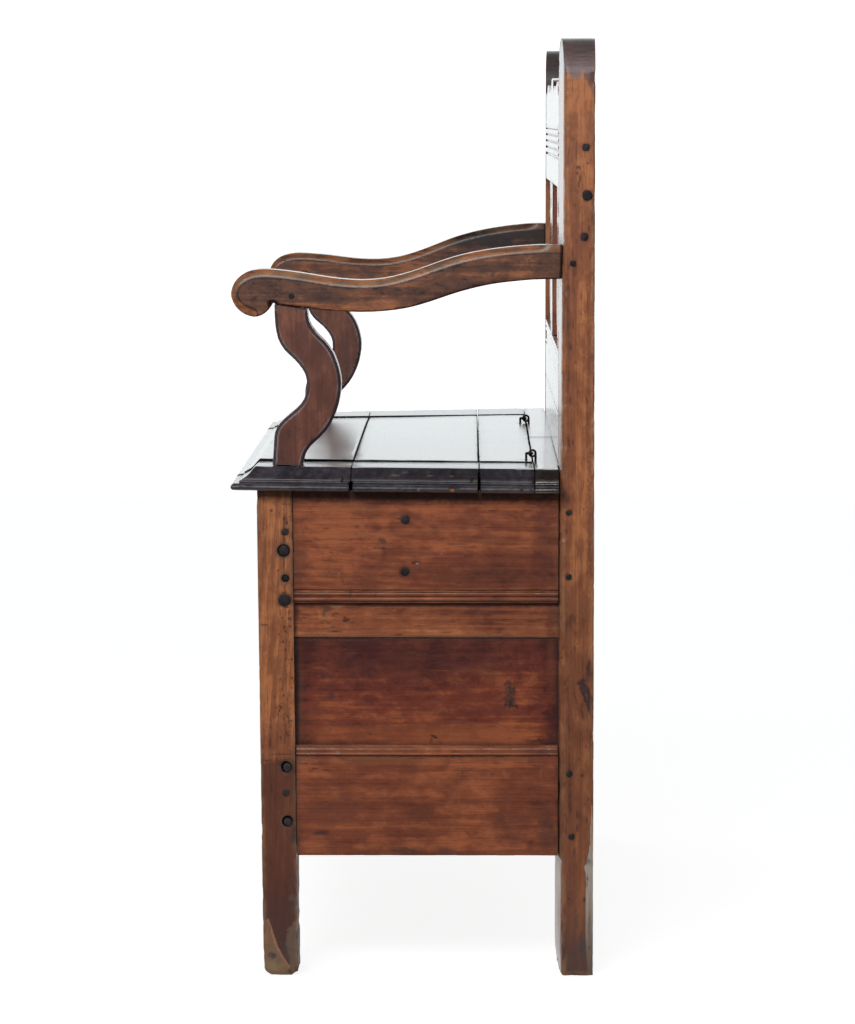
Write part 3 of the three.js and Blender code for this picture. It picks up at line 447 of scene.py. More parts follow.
# ---------------------------------------------------------------------------
# Turning a CAD node into a worn piece: the same solid, with rounded edges,
# a fine mesh, and the unevenness, chips and cracks of old hand work
# ---------------------------------------------------------------------------
BVH = {}
for _name, _ob in NODES.items():
    _me = _ob.data
    _verts = [v.co.copy() for v in _me.vertices]
    _polys = [tuple(p.vertices) for p in _me.polygons]
    _lo, _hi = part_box(_name)
    BVH[_name] = (BVHTree.FromPolygons(_verts, _polys), np.array(_lo), np.array(_hi))


def paint_marks(co, marks, face):
    """Marks of age, and a few lines of painted shade and painted highlight, as a colour with cover, and how deep each
    goes, at the points co.
    """
    wob = [(fbm(co, (260, 260, 260), 3, 901 + i) - 0.5) * 2.2 for i in range(2)]
    grit = vnoise(co, (300, 430, 430), 905)
    rgb, alpha, depth = np.zeros((len(co), 3)), np.zeros(len(co)), np.zeros(len(co))
    for m in marks:
        if "poly" in m:
            ring = [spot(u, v, m["x"] or face) for u, v in m["poly"]]
            py, pz = np.array([q.y for q in ring]), np.array([q.z for q in ring])
            reach = 0.004
            pick = np.where((co[:, 1] > py.min() - reach) & (co[:, 1] < py.max() + reach) & (co[:, 2] > pz.min() - reach)
                            & (co[:, 2] < pz.max() + reach) & (np.abs(co[:, 0] - ring[0].x) < m["rx"] * MM))[0]
            if not len(pick):
                continue
            y = co[pick, 1] + wob[0][pick] * m["wob"] * MM
            z = co[pick, 2] + wob[1][pick] * m["wob"] * MM
            inside, dist = np.zeros(len(pick), bool), np.full(len(pick), 1.0)
            for j in range(len(py)):
                y0, z0, y1, z1 = py[j - 1], pz[j - 1], py[j], pz[j]
                hit = (z0 > z) != (z1 > z)
                inside ^= hit & (y < (y1 - y0) * (z - z0) / (z1 - z0 + 1e-12) + y0)
                t = np.clip(((y - y0) * (y1 - y0) + (z - z0) * (z1 - z0)) / ((y1 - y0) ** 2 + (z1 - z0) ** 2), 0, 1)
                dist = np.minimum(dist, np.hypot(y - y0 - t * (y1 - y0), z - z0 - t * (z1 - z0)))
            d = np.where(inside, -dist, dist) / MM + (grit[pick] - 0.5) * 0.9 * m["soft"]
            cover = m["amount"] * (1 - smooth(-0.5 * m["soft"], 0.5 * m["soft"], d))
            color = np.array(srgb(*m["color"]))
            rgb[pick] = rgb[pick] * (1 - cover)[:, None] + color * cover[:, None]
            alpha[pick] = alpha[pick] + cover * (1 - alpha[pick])
            depth[pick] = np.maximum(depth[pick], cover * m["depth"])
            continue
        c0 = spot(m["u"], m["v"], m["x"] or face)
        k = 1.066 * MM
        ra, rb = m["a"] * k, m["b"] * k
        reach = 1.6 * max(ra, rb) + 0.003
        pick = np.where((np.abs(co[:, 1] - c0.y) < reach) & (np.abs(co[:, 2] - c0.z) < reach)
                        & (np.abs(co[:, 0] - c0.x) < m["rx"] * MM))[0]
        if not len(pick):
            continue
        w = 0.0018 * m["wob"]
        dy = co[pick, 1] - c0.y + wob[0][pick] * w
        dz = co[pick, 2] - c0.z + wob[1][pick] * w
        t = math.radians(m["angle"])
        p = dy * math.cos(t) + dz * math.sin(t)
        q = dz * math.cos(t) - dy * math.sin(t)
        d = np.sqrt((p / ra) ** 2 + (q / rb) ** 2 + ((co[pick, 0] - c0.x) / (m["rx"] * MM)) ** 2)
        d = d + (grit[pick] - 0.5) * 0.9 * m["soft"]
        cover = m["amount"] * (1 - smooth(1 - 0.75 * m["soft"], 1 + 0.45 * m["soft"], d))
        color = np.array(srgb(*m["color"]))
        rgb[pick] = rgb[pick] * (1 - cover)[:, None] + color * cover[:, None]
        alpha[pick] = alpha[pick] + cover * (1 - alpha[pick])
        depth[pick] = np.maximum(depth[pick], cover * m["depth"])
    rgb = rgb / np.maximum(alpha, 1e-4)[:, None]
    return np.column_stack([rgb, alpha]), depth


def slice_polys(polys, axis, planes):
    """Cuts convex polygons along planes across one axis; neighbours are cut at the same points."""
    eps = 2e-6
    out = []
    for poly in polys:
        vals = [q[axis] for q in poly]
        i0 = bisect.bisect_right(planes, min(vals) + eps)
        i1 = bisect.bisect_left(planes, max(vals) - eps)
        cur = poly
        for k in range(i0, i1):
            c = planes[k]
            below, above = [], []
            m = len(cur)
            for j in range(m):
                a, b = cur[j], cur[(j + 1) % m]
                da, db = a[axis] - c, b[axis] - c
                if da <= eps:
                    below.append(a)
                if da >= -eps:
                    above.append(a)
                if (da < -eps and db > eps) or (da > eps and db < -eps):
                    if b < a:
                        a, b = b, a
                    t = (c - a[axis]) / (b[axis] - a[axis])
                    q = [a[0] + (b[0] - a[0]) * t, a[1] + (b[1] - a[1]) * t, a[2] + (b[2] - a[2]) * t]
                    q[axis] = c
                    q = tuple(q)
                    below.append(q)
                    above.append(q)
            if len(below) >= 3:
                out.append(below)
            cur = above
            if len(cur) < 3:
                break
        if len(cur) >= 3:
            out.append(cur)
    return out


def refine(node, width=1.4, width_of=None, seg=3, grid=(8, 8, 8), extra=None,
           flat=0.35, dent=0.5, paint=None, move=None, seed=0, min_width=0.25, suffix="piece",
           marks_at=(), face=530.0, stretch=1.0):
    """A worn copy of a CAD node. grid is the size of the mesh along X, Y and Z. Sizes in mm."""
    src = NODES[node]
    bm = bmesh.new()
    bm.from_mesh(src.data)
    bmesh.ops.remove_doubles(bm, verts=bm.verts, dist=1e-6)
    bmesh.ops.dissolve_limit(bm, angle_limit=math.radians(0.4), verts=bm.verts, edges=bm.edges)
    if stretch != 1.0:
        # bevels reach further along X than across the face
        for v in bm.verts:
            v.co.x /= stretch
    bm.normal_update()
    bm.edges.ensure_lookup_table()
    weight = bm.edges.layers.float.new("bevel_weight_edge")
    biggest = width * MM
    todo = []
    samples = []
    for e in bm.edges:
        if len(e.link_faces) != 2 or not e.is_convex:
            continue
        f1, f2 = e.link_faces
        ang = f1.normal.angle(f2.normal, 0.0)
        if ang < math.radians(24):
            continue
        a, b = e.verts[0].co, e.verts[1].co
        d = (b - a)
        if d.length < 1e-7:
            continue
        dn = d.normalized()
        alt = 1.0
        for f in (f1, f2):
            inward = f.normal.cross(dn)
            if inward.dot(f.calc_center_median() - a) < 0:
                inward = -inward
            alt = min(alt, max((v.co - a).dot(inward) for v in f.verts))
        mid = (a + b) / 2
        w = width * MM if width_of is None else width_of(mid, f1.normal, f2.normal) * MM
        w = min(w, alt * 0.42)
        n = max(1, int(d.length / 0.003))
        for k in range(n + 1):
            q = a + d * (k / n)
            samples.append((Vector((q.x * stretch, q.y, q.z)), min(1.0, w / (0.6 * MM))))
        if w >= min_width * MM:
            todo.append((e, w))
            biggest = max(biggest, w)
    for e, w in todo:
        e[weight] = w / biggest
    me = bpy.data.meshes.new(f"{node}_{suffix}")
    bm.to_mesh(me)
    bm.free()
    ob = bpy.data.objects.new(f"{node}_{suffix}", me)
    scene.collection.objects.link(ob)
    if todo:
        m = ob.modifiers.new("bevel", "BEVEL")
        m.limit_method = "WEIGHT"
        m.width = biggest
        m.segments = seg
        m.use_clamp_overlap = True
        m.miter_outer = "MITER_SHARP"
        dg = bpy.context.evaluated_depsgraph_get()
        em = bpy.data.meshes.new_from_object(ob.evaluated_get(dg), depsgraph=dg)
        ob.modifiers.clear()
        ob.data = em
        bpy.data.meshes.remove(me)
        me = em
        me.name = f"{node}_{suffix}"
    # finer mesh, cut along a grid
    bm = bmesh.new()
    bm.from_mesh(me)
    if stretch != 1.0:
        for v in bm.verts:
            v.co.x *= stretch
    bmesh.ops.remove_doubles(bm, verts=bm.verts, dist=1e-6)
    bmesh.ops.triangulate(bm, faces=bm.faces, quad_method="BEAUTY", ngon_method="BEAUTY")
    polys = [[tuple(v.co) for v in f.verts] for f in bm.faces]
    bm.free()
    lo, hi = BVH[node][1], BVH[node][2]
    for axis in range(3):
        step = grid[axis] * MM * 1.0
        count = max(1, int(round((hi[axis] - lo[axis]) / step)))
        planes = [lo[axis] + (hi[axis] - lo[axis]) * (k + 0.37) / count for k in range(count)]
        planes = sorted(planes + [q * MM for q in (extra or {}).get(axis, [])])
        polys = slice_polys(polys, axis, planes)
    index, pts, faces = {}, [], []
    for poly in polys:
        ids = []
        for q in poly:
            key = (round(q[0] * 2e6), round(q[1] * 2e6), round(q[2] * 2e6))
            k = index.get(key)
            if k is None:
                k = index[key] = len(pts)
                pts.append(q)
            if not ids or ids[-1] != k:
                ids.append(k)
        if len(ids) > 1 and ids[0] == ids[-1]:
            ids.pop()
        if len(ids) >= 3 and len(set(ids)) == len(ids):
            faces.append(ids)
    old = me
    me = bpy.data.meshes.new(f"{node}_{suffix}")
    me.from_pydata(pts, [], faces)
    bm = bmesh.new()
    bm.from_mesh(me)
    bmesh.ops.remove_doubles(bm, verts=bm.verts, dist=1.5e-6)
    bmesh.ops.dissolve_degenerate(bm, dist=1e-6, edges=bm.edges)
    bm.normal_update()
    bm.to_mesh(me)
    bm.free()
    ob.data = me
    bpy.data.meshes.remove(old)
    n = len(me.vertices)
    co = np.empty(n * 3, np.float32)
    me.vertices.foreach_get("co", co)
    co = co.reshape(-1, 3).astype(float)
    no = np.empty(n * 3, np.float32)
    me.vertex_normals.foreach_get("vector", no)
    no = no.reshape(-1, 3).astype(float)
    # nearness to a rubbed edge
    wear = np.zeros(n)
    if samples:
        kd = KDTree(len(samples))
        for i, (p, _w) in enumerate(samples):
            kd.insert(p, i)
        kd.balance()
        for i in range(n):
            _, k, dist = kd.find(co[i])
            wear[i] = math.exp(-(dist / (2.6 * MM)) ** 2) * samples[k][1]
    # nearness to other pieces, used for dirt and painted shade in the corners
    contact = np.zeros(n)
    reach = 9 * MM
    for other, (tree, lo, hi) in BVH.items():
        if other == node:
            continue
        inside = np.where(np.all((co > lo - reach) & (co < hi + reach), axis=1))[0]
        for i in inside:
            hit = tree.find_nearest(co[i], reach)
            if hit[0] is not None:
                contact[i] = max(contact[i], 1.0 - hit[3] / reach)
    contact = contact ** 2.6
    # unevenness: always inwards, so that neighbours stay clear
    inward = flat * MM * fbm(co, (9, 9, 9), 3, seed + 3) * 0.8
    knocks = smooth(0.60, 0.85, vnoise(co, (70, 70, 70), seed + 5)) + 0.6 * smooth(0.55, 0.9, vnoise(co, (160, 160, 160), seed + 9))
    inward = inward + dent * MM * wear * knocks
    co2 = co - no * inward[:, None]
    attrs = {"wear": wear, "contact": contact, "tone": np.zeros(n), "stain": np.zeros(n), "bare": np.zeros(n), "dull": np.zeros(n)}
    if paint is not None:
        paint(co, no, attrs)
    if marks_at:
        over, depth = paint_marks(co, marks_at, face)
        co2 = co2 - no * (depth * 0.45 * MM)[:, None]
        at = me.attributes.new("mark", "FLOAT_COLOR", "POINT")
        at.data.foreach_set("color", over.astype(np.float32).ravel())
    if move is not None:
        co2 = move(co, no, co2, attrs)
    me.vertices.foreach_set("co", co2.astype(np.float32).ravel())
    me.polygons.foreach_set("use_smooth", np.ones(len(me.polygons), bool))
    me.update()
    for k, a in attrs.items():
        at = me.attributes.new(k, "FLOAT", "POINT")
        at.data.foreach_set("value", a.astype(np.float32))
    me.materials.clear()
    me.set_sharp_from_angle(angle=math.radians(38))
    ob.data = me
    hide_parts(node)
    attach(ob, NODE_BODY[node])
    return ob


def keep_node(node, mat, width=1.0):
    """A CAD node whose shape is right: only rounded edges and a material."""
    ob = NODES[node]
    w = ob.modifiers.new("weld", "WELD")
    w.merge_threshold = 1e-6
    b = ob.modifiers.new("bevel", "BEVEL")
    b.limit_method = "ANGLE"
    b.angle_limit = math.radians(35)
    b.width = width * MM
    b.segments = 2
    b.use_clamp_overlap = True
    ob.data.materials.clear()
    ob.data.materials.append(mat)


def dress(ob, mat):
    ob.data.materials.clear()
    ob.data.materials.append(mat)


make_camera()

# ---------------------------------------------------------------------------
# The pieces
# ---------------------------------------------------------------------------
BLACK, INK, SLATE, UMBER = (20, 17, 18), (34, 28, 30), (58, 58, 66), (62, 36, 30)
WINE, TAN, GREY, PALE = (74, 32, 30), (176, 118, 74), (122, 116, 110), (178, 166, 150)


def dashes(u0, u1, v0, v1, count, seed, a=(0.5, 1.3), b=(0.5, 1.6), color=BLACK, amount=0.8, depth=0.6, angle=(0, 0)):
    rng = np.random.default_rng(seed)
    return [mark(rng.uniform(u0, u1), rng.uniform(v0, v1), rng.uniform(*a), rng.uniform(*b), color, amount,
                 angle=rng.uniform(*angle), soft=0.6, wob=0.25, depth=depth, rx=4.0) for _ in range(count)]


POST_MARKS = [
    mark(586.0, 147.4, 4.9, 4.9, (30, 22, 20), 0.7, soft=0.4, wob=0.3, rx=6.0), mark(587.4, 195.5, 6.2, 6.2, (30, 22, 20), 0.7, soft=0.4, wob=0.3, rx=6.0), mark(584.4, 236.8, 5.1, 5.1, (30, 22, 20), 0.7, soft=0.4, wob=0.3, rx=6.0),
    mark(572.8, 263.8, 4.4, 4.2, (30, 22, 20), 0.7, soft=0.4, wob=0.3, rx=6.0), mark(569.0, 513.0, 4.0, 4.4, (34, 26, 24), 0.7, soft=0.5, wob=0.4, rx=6.0), mark(568.6, 577.0, 4.2, 4.2, (34, 26, 24), 0.7, soft=0.5, wob=0.4, rx=6.0),
    mark(569.4, 774.2, 4.1, 4.3, (34, 24, 22), 0.7, soft=0.5, wob=0.4, rx=6.0), mark(571.6, 836.9, 4.0, 4.0, (34, 24, 22), 0.7, soft=0.5, wob=0.4, rx=6.0),
    mark(572.4, 139.8, 1.0, 1.2, BLACK, 0.8, depth=0.8, wob=0.1), mark(588, 163.5, 1.1, 1.3, BLACK, 0.8, depth=0.8, wob=0.1),
    mark(581.8, 775.7, 1.2, 1.7, BLACK, 0.85, depth=0.8, wob=0.1),
    mark(577.6, 167.5, 2.6, 2.2, INK, 0.75, wob=0.6), mark(577.0, 173.5, 1.6, 2.0, BLACK, 0.85, wob=0.4, depth=0.6),
    mark(575.6, 155.0, 0.5, 13.0, UMBER, 0.6, wob=0.15), mark(579.2, 182.5, 0.7, 9.5, BLACK, 0.75, angle=-11, wob=0.15, depth=0.5),
    mark(585.0, 176.0, 0.5, 14.0, UMBER, 0.35, angle=10, wob=0.2), mark(573.5, 205.0, 1.6, 2.0, WINE, 0.5),
    mark(593.0, 219.5, 1.8, 6.0, INK, 0.75), mark(589.5, 228.7, 1.0, 4.0, INK, 0.7), mark(586.5, 215.0, 4.0, 10.0, UMBER, 0.35, soft=0.8),
    mark(594.2, 300.0, 0.8, 130.0, INK, 0.45, soft=0.7),
    mark(566.0, 300.0, 2.6, 60.0, WINE, 0.35, soft=0.9), mark(590.0, 400.0, 3.0, 90.0, UMBER, 0.35, soft=0.9),
    # painted shadow beside the seat nose: the INK marks at 563.8, 470.0 on this line and at 566.0, 498.0 on the next
    mark(563.8, 470.0, 2.0, 34.0, INK, 0.6, soft=0.9), mark(590.5, 520.0, 4.0, 60.0, WINE, 0.5, soft=0.9),
    mark(566.0, 498.0, 4.0, 10.0, INK, 0.45, soft=0.9), mark(565.5, 531.0, 3.0, 2.5, WINE, 0.6, soft=0.8),
    mark(590.5, 671.0, 4.4, 11.0, (40, 24, 27), 0.85, angle=6, soft=0.8), patch([(577, 681), (583, 681.5), (588, 686), (591, 694), (594, 704), (594, 722), (590, 716), (586, 706), (581, 692)], (36, 36, 46), 0.92, soft=1.6, wob=1.0, depth=0.5), mark(590.5, 700.0, 2.4, 14.0, (34, 26, 30), 0.6, angle=12, soft=0.9, wob=1.0),
    mark(581.5, 682.0, 5.0, 2.6, (32, 32, 40), 0.9, angle=22, soft=0.5, wob=0.8, depth=0.4), mark(581.6, 699.5, 1.8, 7.0, (150, 80, 50), 0.7, angle=20, soft=0.7, wob=0.8), mark(586.4, 695.0, 1.0, 3.4, (140, 76, 50), 0.6, angle=24, soft=0.6, wob=0.6),
    mark(582.0, 712.0, 1.6, 9.0, (70, 40, 34), 0.6, angle=12, soft=0.7, wob=0.8), patch([(584, 74), (597, 70), (597, 99), (592.6, 97), (590.4, 89), (587, 84)], (88, 68, 66), 0.8, soft=2.2, wob=1.4), mark(571.0, 88.0, 0.5, 16.0, (92, 58, 44), 0.6, soft=0.7, wob=0.3), mark(578.5, 92.0, 0.9, 12.0, (120, 70, 54), 0.5, soft=0.8, wob=0.5), mark(576.0, 700.0, 1.0, 16.0, WINE, 0.55, angle=12, soft=0.8),
    mark(572.0, 720.0, 1.0, 18.0, WINE, 0.35, angle=8, soft=0.8), mark(591.0, 745.0, 2.0, 30.0, INK, 0.45, soft=0.9),
    mark(577.5, 815.0, 0.9, 4.0, BLACK, 0.85, wob=0.3, depth=0.6), mark(577.0, 828.0, 0.7, 4.5, INK, 0.75, wob=0.3), mark(563.5, 785.0, 2.2, 3.5, INK, 0.8, wob=0.8),
    mark(576.5, 920.0, 2.2, 9.0, UMBER, 0.45, soft=0.9), mark(581.0, 946.0, 4.2, 8.0, SLATE, 0.55, soft=0.9, wob=0.8),
    mark(584.2, 900.0, 1.4, 3.2, BLACK, 0.7, wob=0.4), mark(566.0, 960.0, 4.0, 7.0, (92, 72, 58), 0.5, soft=0.9),
    mark(578.0, 972.5, 16.0, 1.8, (120, 98, 76), 0.4, soft=0.8), mark(576.0, 957.0, 9.0, 13.0, (62, 48, 50), 0.5, soft=0.9, wob=0.8), mark(587.6, 880.0, 0.9, 9.0, (70, 60, 46), 0.7, soft=0.8, wob=0.6), mark(590.0, 925.0, 0.8, 12.0, (90, 80, 64), 0.7, soft=0.8, wob=0.6), mark(589.5, 948.0, 1.2, 3.0, (84, 78, 70), 0.7, soft=0.8, wob=0.6), mark(588.0, 862.0, 3.0, 3.0, (96, 84, 64), 0.6, soft=0.9, wob=0.9), mark(562.6, 850.0, 1.0, 120.0, INK, 0.35, soft=0.8),
] + dashes(566, 592, 240, 480, 26, 11, a=(0.4, 0.9), b=(0.8, 4.0), color=INK, amount=0.6) \
  + dashes(564, 590, 500, 960, 34, 12, a=(0.4, 0.9), b=(0.8, 4.5), color=INK, amount=0.6)

def halo(u, v, r, amount=0.75):
    return mark(u, v, r, r, (24, 18, 18), amount, soft=0.35, wob=0.35, rx=6.0)


LEG_MARKS = [
    halo(283.6, 550.5, 7.4), halo(285.2, 532.0, 4.6), halo(285.2, 578.2, 4.6), halo(284.5, 600.2, 7.8), halo(286.9, 766.6, 6.6), halo(286.1, 793.1, 4.3), halo(287.4, 821.3, 6.4),
    mark(283.8, 545.0, 0.75, 36.0, BLACK, 0.85, soft=0.5, wob=0.35, depth=0.8), mark(271.7, 510.7, 1.6, 1.5, BLACK, 0.8, wob=0.2, depth=0.5),
    mark(278.0, 570.6, 2.6, 0.8, BLACK, 0.75, wob=0.2), mark(258.6, 595.0, 1.0, 2.6, INK, 0.7), mark(263.8, 625.0, 4.0, 1.2, BLACK, 0.8, wob=0.3, depth=0.5),
    mark(285.4, 519.0, 2.0, 7.0, (40, 30, 28), 0.6, soft=0.9, wob=0.6), mark(292.5, 560.0, 1.0, 60.0, INK, 0.4, soft=0.9),
    mark(257.4, 640.0, 0.8, 120.0, (96, 72, 60), 0.5, soft=0.9), mark(262.0, 516.0, 5.0, 20.0, (96, 60, 44), 0.35, soft=0.9),
    mark(279.0, 754.5, 15.0, 0.7, BLACK, 0.65, angle=3, soft=0.5, wob=0.4, depth=0.5), mark(268.0, 760.6, 8.0, 0.7, BLACK, 0.75, angle=-3, soft=0.5, wob=0.4, depth=0.6),
    mark(290.0, 735.0, 2.0, 26.0, UMBER, 0.5, soft=0.9), mark(293.6, 837.6, 3.4, 7.0, (44, 44, 50), 0.85, soft=0.7, wob=0.8, depth=0.5),
    mark(295.5, 800.0, 1.6, 50.0, INK, 0.5, soft=0.9), mark(296.5, 900.0, 1.4, 42.0, (54, 48, 48), 0.65, soft=0.9, wob=0.8),
    patch([(287, 930), (300, 914), (300, 977), (285, 977), (290, 962), (286, 946)], (112, 94, 76), 0.75, soft=2.4, wob=1.4),
    patch([(260, 921), (268.2, 919.5), (272, 930), (275.5, 943), (279, 951), (284, 959.5), (288, 966), (291, 977), (260, 977)], (134, 104, 78), 0.93, soft=0.7, wob=0.5, depth=0.5),
    patch([(267.2, 919), (268.6, 918.5), (273, 931), (277.2, 944), (281, 951.5), (290, 967), (288.6, 967.6), (279, 952.5), (274.8, 944.5)], (190, 134, 102), 0.7, soft=0.7, wob=0.4),
    mark(266.3, 938.0, 2.0, 9.0, (168, 104, 62), 0.6, soft=0.8, wob=0.5), mark(265.0, 928.0, 1.4, 7.0, (96, 74, 62), 0.6, soft=0.8, wob=0.5), mark(273.0, 966.0, 10.0, 6.0, (150, 132, 98), 0.75, soft=0.8, wob=0.9),
    mark(269.0, 945.0, 5.0, 1.0, (96, 80, 66), 0.5, soft=0.8), mark(279.0, 962.0, 3.0, 5.0, (104, 92, 76), 0.6, soft=0.9, wob=0.8), mark(296.5, 969.0, 2.4, 3.0, (40, 34, 30), 0.8, soft=0.7, wob=0.6), mark(290.0, 971.5, 2.4, 2.0, (30, 26, 24), 0.75, soft=0.7, wob=0.6),
    mark(285.5, 950.0, 3.5, 11.0, (56, 44, 46), 0.6, angle=14, soft=0.9, wob=0.8), mark(288.0, 956.0, 1.4, 4.0, (38, 34, 38), 0.7, angle=14, soft=0.7, wob=0.6), mark(292.0, 898.0, 3.0, 4.0, (88, 84, 84), 0.6, soft=0.8, wob=0.9), mark(294.0, 906.0, 3.4, 9.0, (62, 58, 60), 0.55, soft=0.9, wob=0.9), mark(265.0, 914.0, 1.2, 9.0, (80, 78, 76), 0.5, soft=0.8, wob=0.6),
    mark(271.5, 955.5, 4.6, 2.6, (42, 48, 56), 0.9, angle=-16, soft=0.6, wob=0.7, depth=0.4), mark(270.0, 955.0, 1.6, 0.7, (96, 104, 112), 0.6, soft=0.6),
] + dashes(283, 292, 498, 530, 12, 21, color=BLACK) + dashes(279, 292, 600, 742, 46, 22, color=BLACK, amount=0.85) \
  + dashes(270, 290, 690, 735, 12, 23, color=BLACK) + dashes(260, 292, 505, 750, 22, 24, a=(0.3, 0.7), b=(1.5, 6.0), color=UMBER, amount=0.5, depth=0.2) \
  + dashes(286, 297, 860, 960, 26, 25, a=(0.5, 1.2), b=(0.6, 2.4), color=(50, 48, 50), amount=0.7) + dashes(264, 290, 770, 940, 14, 26, a=(0.3, 0.7), b=(2, 7), color=(36, 20, 18), amount=0.5, depth=0.2)

TOP_RAIL_MARKS = [
    # the first two marks are painted shade in the quirks of the moulding on the rail's lower edge
    mark(428.0, 592.4, 140.0, 0.7, (40, 26, 24), 0.85, soft=0.5, wob=0.1), mark(428.0, 600.6, 140.0, 0.6, (46, 30, 26), 0.75, soft=0.6, wob=0.1), mark(552.0, 596.0, 14.0, 4.0, (56, 50, 52), 0.6, soft=0.9, wob=0.5), mark(309.0, 595.0, 18.0, 3.0, (66, 52, 46), 0.45, soft=0.9, wob=0.5),
    mark(405.3, 519.8, 5.8, 5.6, (36, 24, 22), 0.7, soft=0.5, wob=0.4, rx=6.0), mark(404.9, 572.0, 5.6, 5.6, (30, 20, 20), 0.8, soft=0.5, wob=0.4, rx=6.0),
    # the first mark on this line, along v 495, is a painted shadow under the overhang of the seat
    mark(425.0, 495.0, 150.0, 8.0, (34, 20, 18), 0.75, soft=0.9, wob=0.3), mark(356.8, 526.0, 2.4, 1.8, (64, 66, 62), 0.7, wob=0.5), mark(377.0, 528.0, 4.5, 4.0, WINE, 0.55, soft=0.9, wob=0.8),
    mark(382.5, 541.5, 4.6, 3.2, (40, 34, 36), 0.75, soft=0.8, wob=0.9, depth=0.3), mark(384.0, 553.0, 2.6, 8.0, UMBER, 0.4, soft=0.9, wob=0.8),
    mark(416.0, 563.2, 4.2, 1.9, BLACK, 0.85, soft=0.5, wob=0.5, depth=0.6), mark(417.0, 563.4, 1.4, 0.6, (190, 180, 170), 0.9, soft=0.3, wob=0.1),
    mark(442.0, 554.4, 6.0, 0.5, (176, 164, 156), 0.7, soft=0.4, wob=0.15), mark(470.0, 547.5, 20.0, 1.0, (48, 38, 40), 0.6, soft=0.8, wob=0.5),
    mark(455.0, 544.0, 22.0, 0.7, (60, 34, 30), 0.6, angle=-3, soft=0.8, wob=0.4), mark(318.0, 540.0, 24.0, 0.7, (60, 34, 30), 0.5, angle=6, soft=0.8, wob=0.4),
    mark(350.0, 508.0, 46.0, 5.0, (140, 88, 56), 0.35, soft=0.9), mark(395.0, 533.0, 60.0, 2.5, (160, 104, 66), 0.35, soft=0.9, angle=4), mark(500.0, 541.0, 40.0, 2.0, (158, 98, 62), 0.4, soft=0.9, angle=-3),
    mark(545.0, 545.0, 14.0, 44.0, WINE, 0.55, soft=0.9), mark(470.0, 575.0, 60.0, 12.0, (88, 42, 32), 0.4, soft=0.9), mark(300.0, 560.0, 10.0, 30.0, (78, 38, 32), 0.45, soft=0.9),
    mark(360.0, 578.0, 30.0, 8.0, (96, 52, 38), 0.35, soft=0.9), mark(376.0, 592.8, 0.7, 6.0, BLACK, 0.7, wob=0.2), mark(350.0, 594.0, 0.6, 5.0, BLACK, 0.7, wob=0.2),
    # the first mark on this line is a painted highlight along the lower arris of the rail, above the moulding
    mark(430.0, 589.0, 90.0, 1.0, (168, 108, 70), 0.5, soft=0.9, wob=0.3), mark(330.0, 572.0, 9.0, 6.0, (70, 46, 40), 0.35, soft=0.9),
] + dashes(300, 552, 505, 588, 26, 31, a=(1.0, 7.0), b=(0.3, 0.7), color=UMBER, amount=0.6, depth=0.2) \
  + dashes(320, 380, 548, 590, 16, 32, a=(0.5, 1.5), b=(0.5, 1.3), color=(52, 44, 42), amount=0.6)

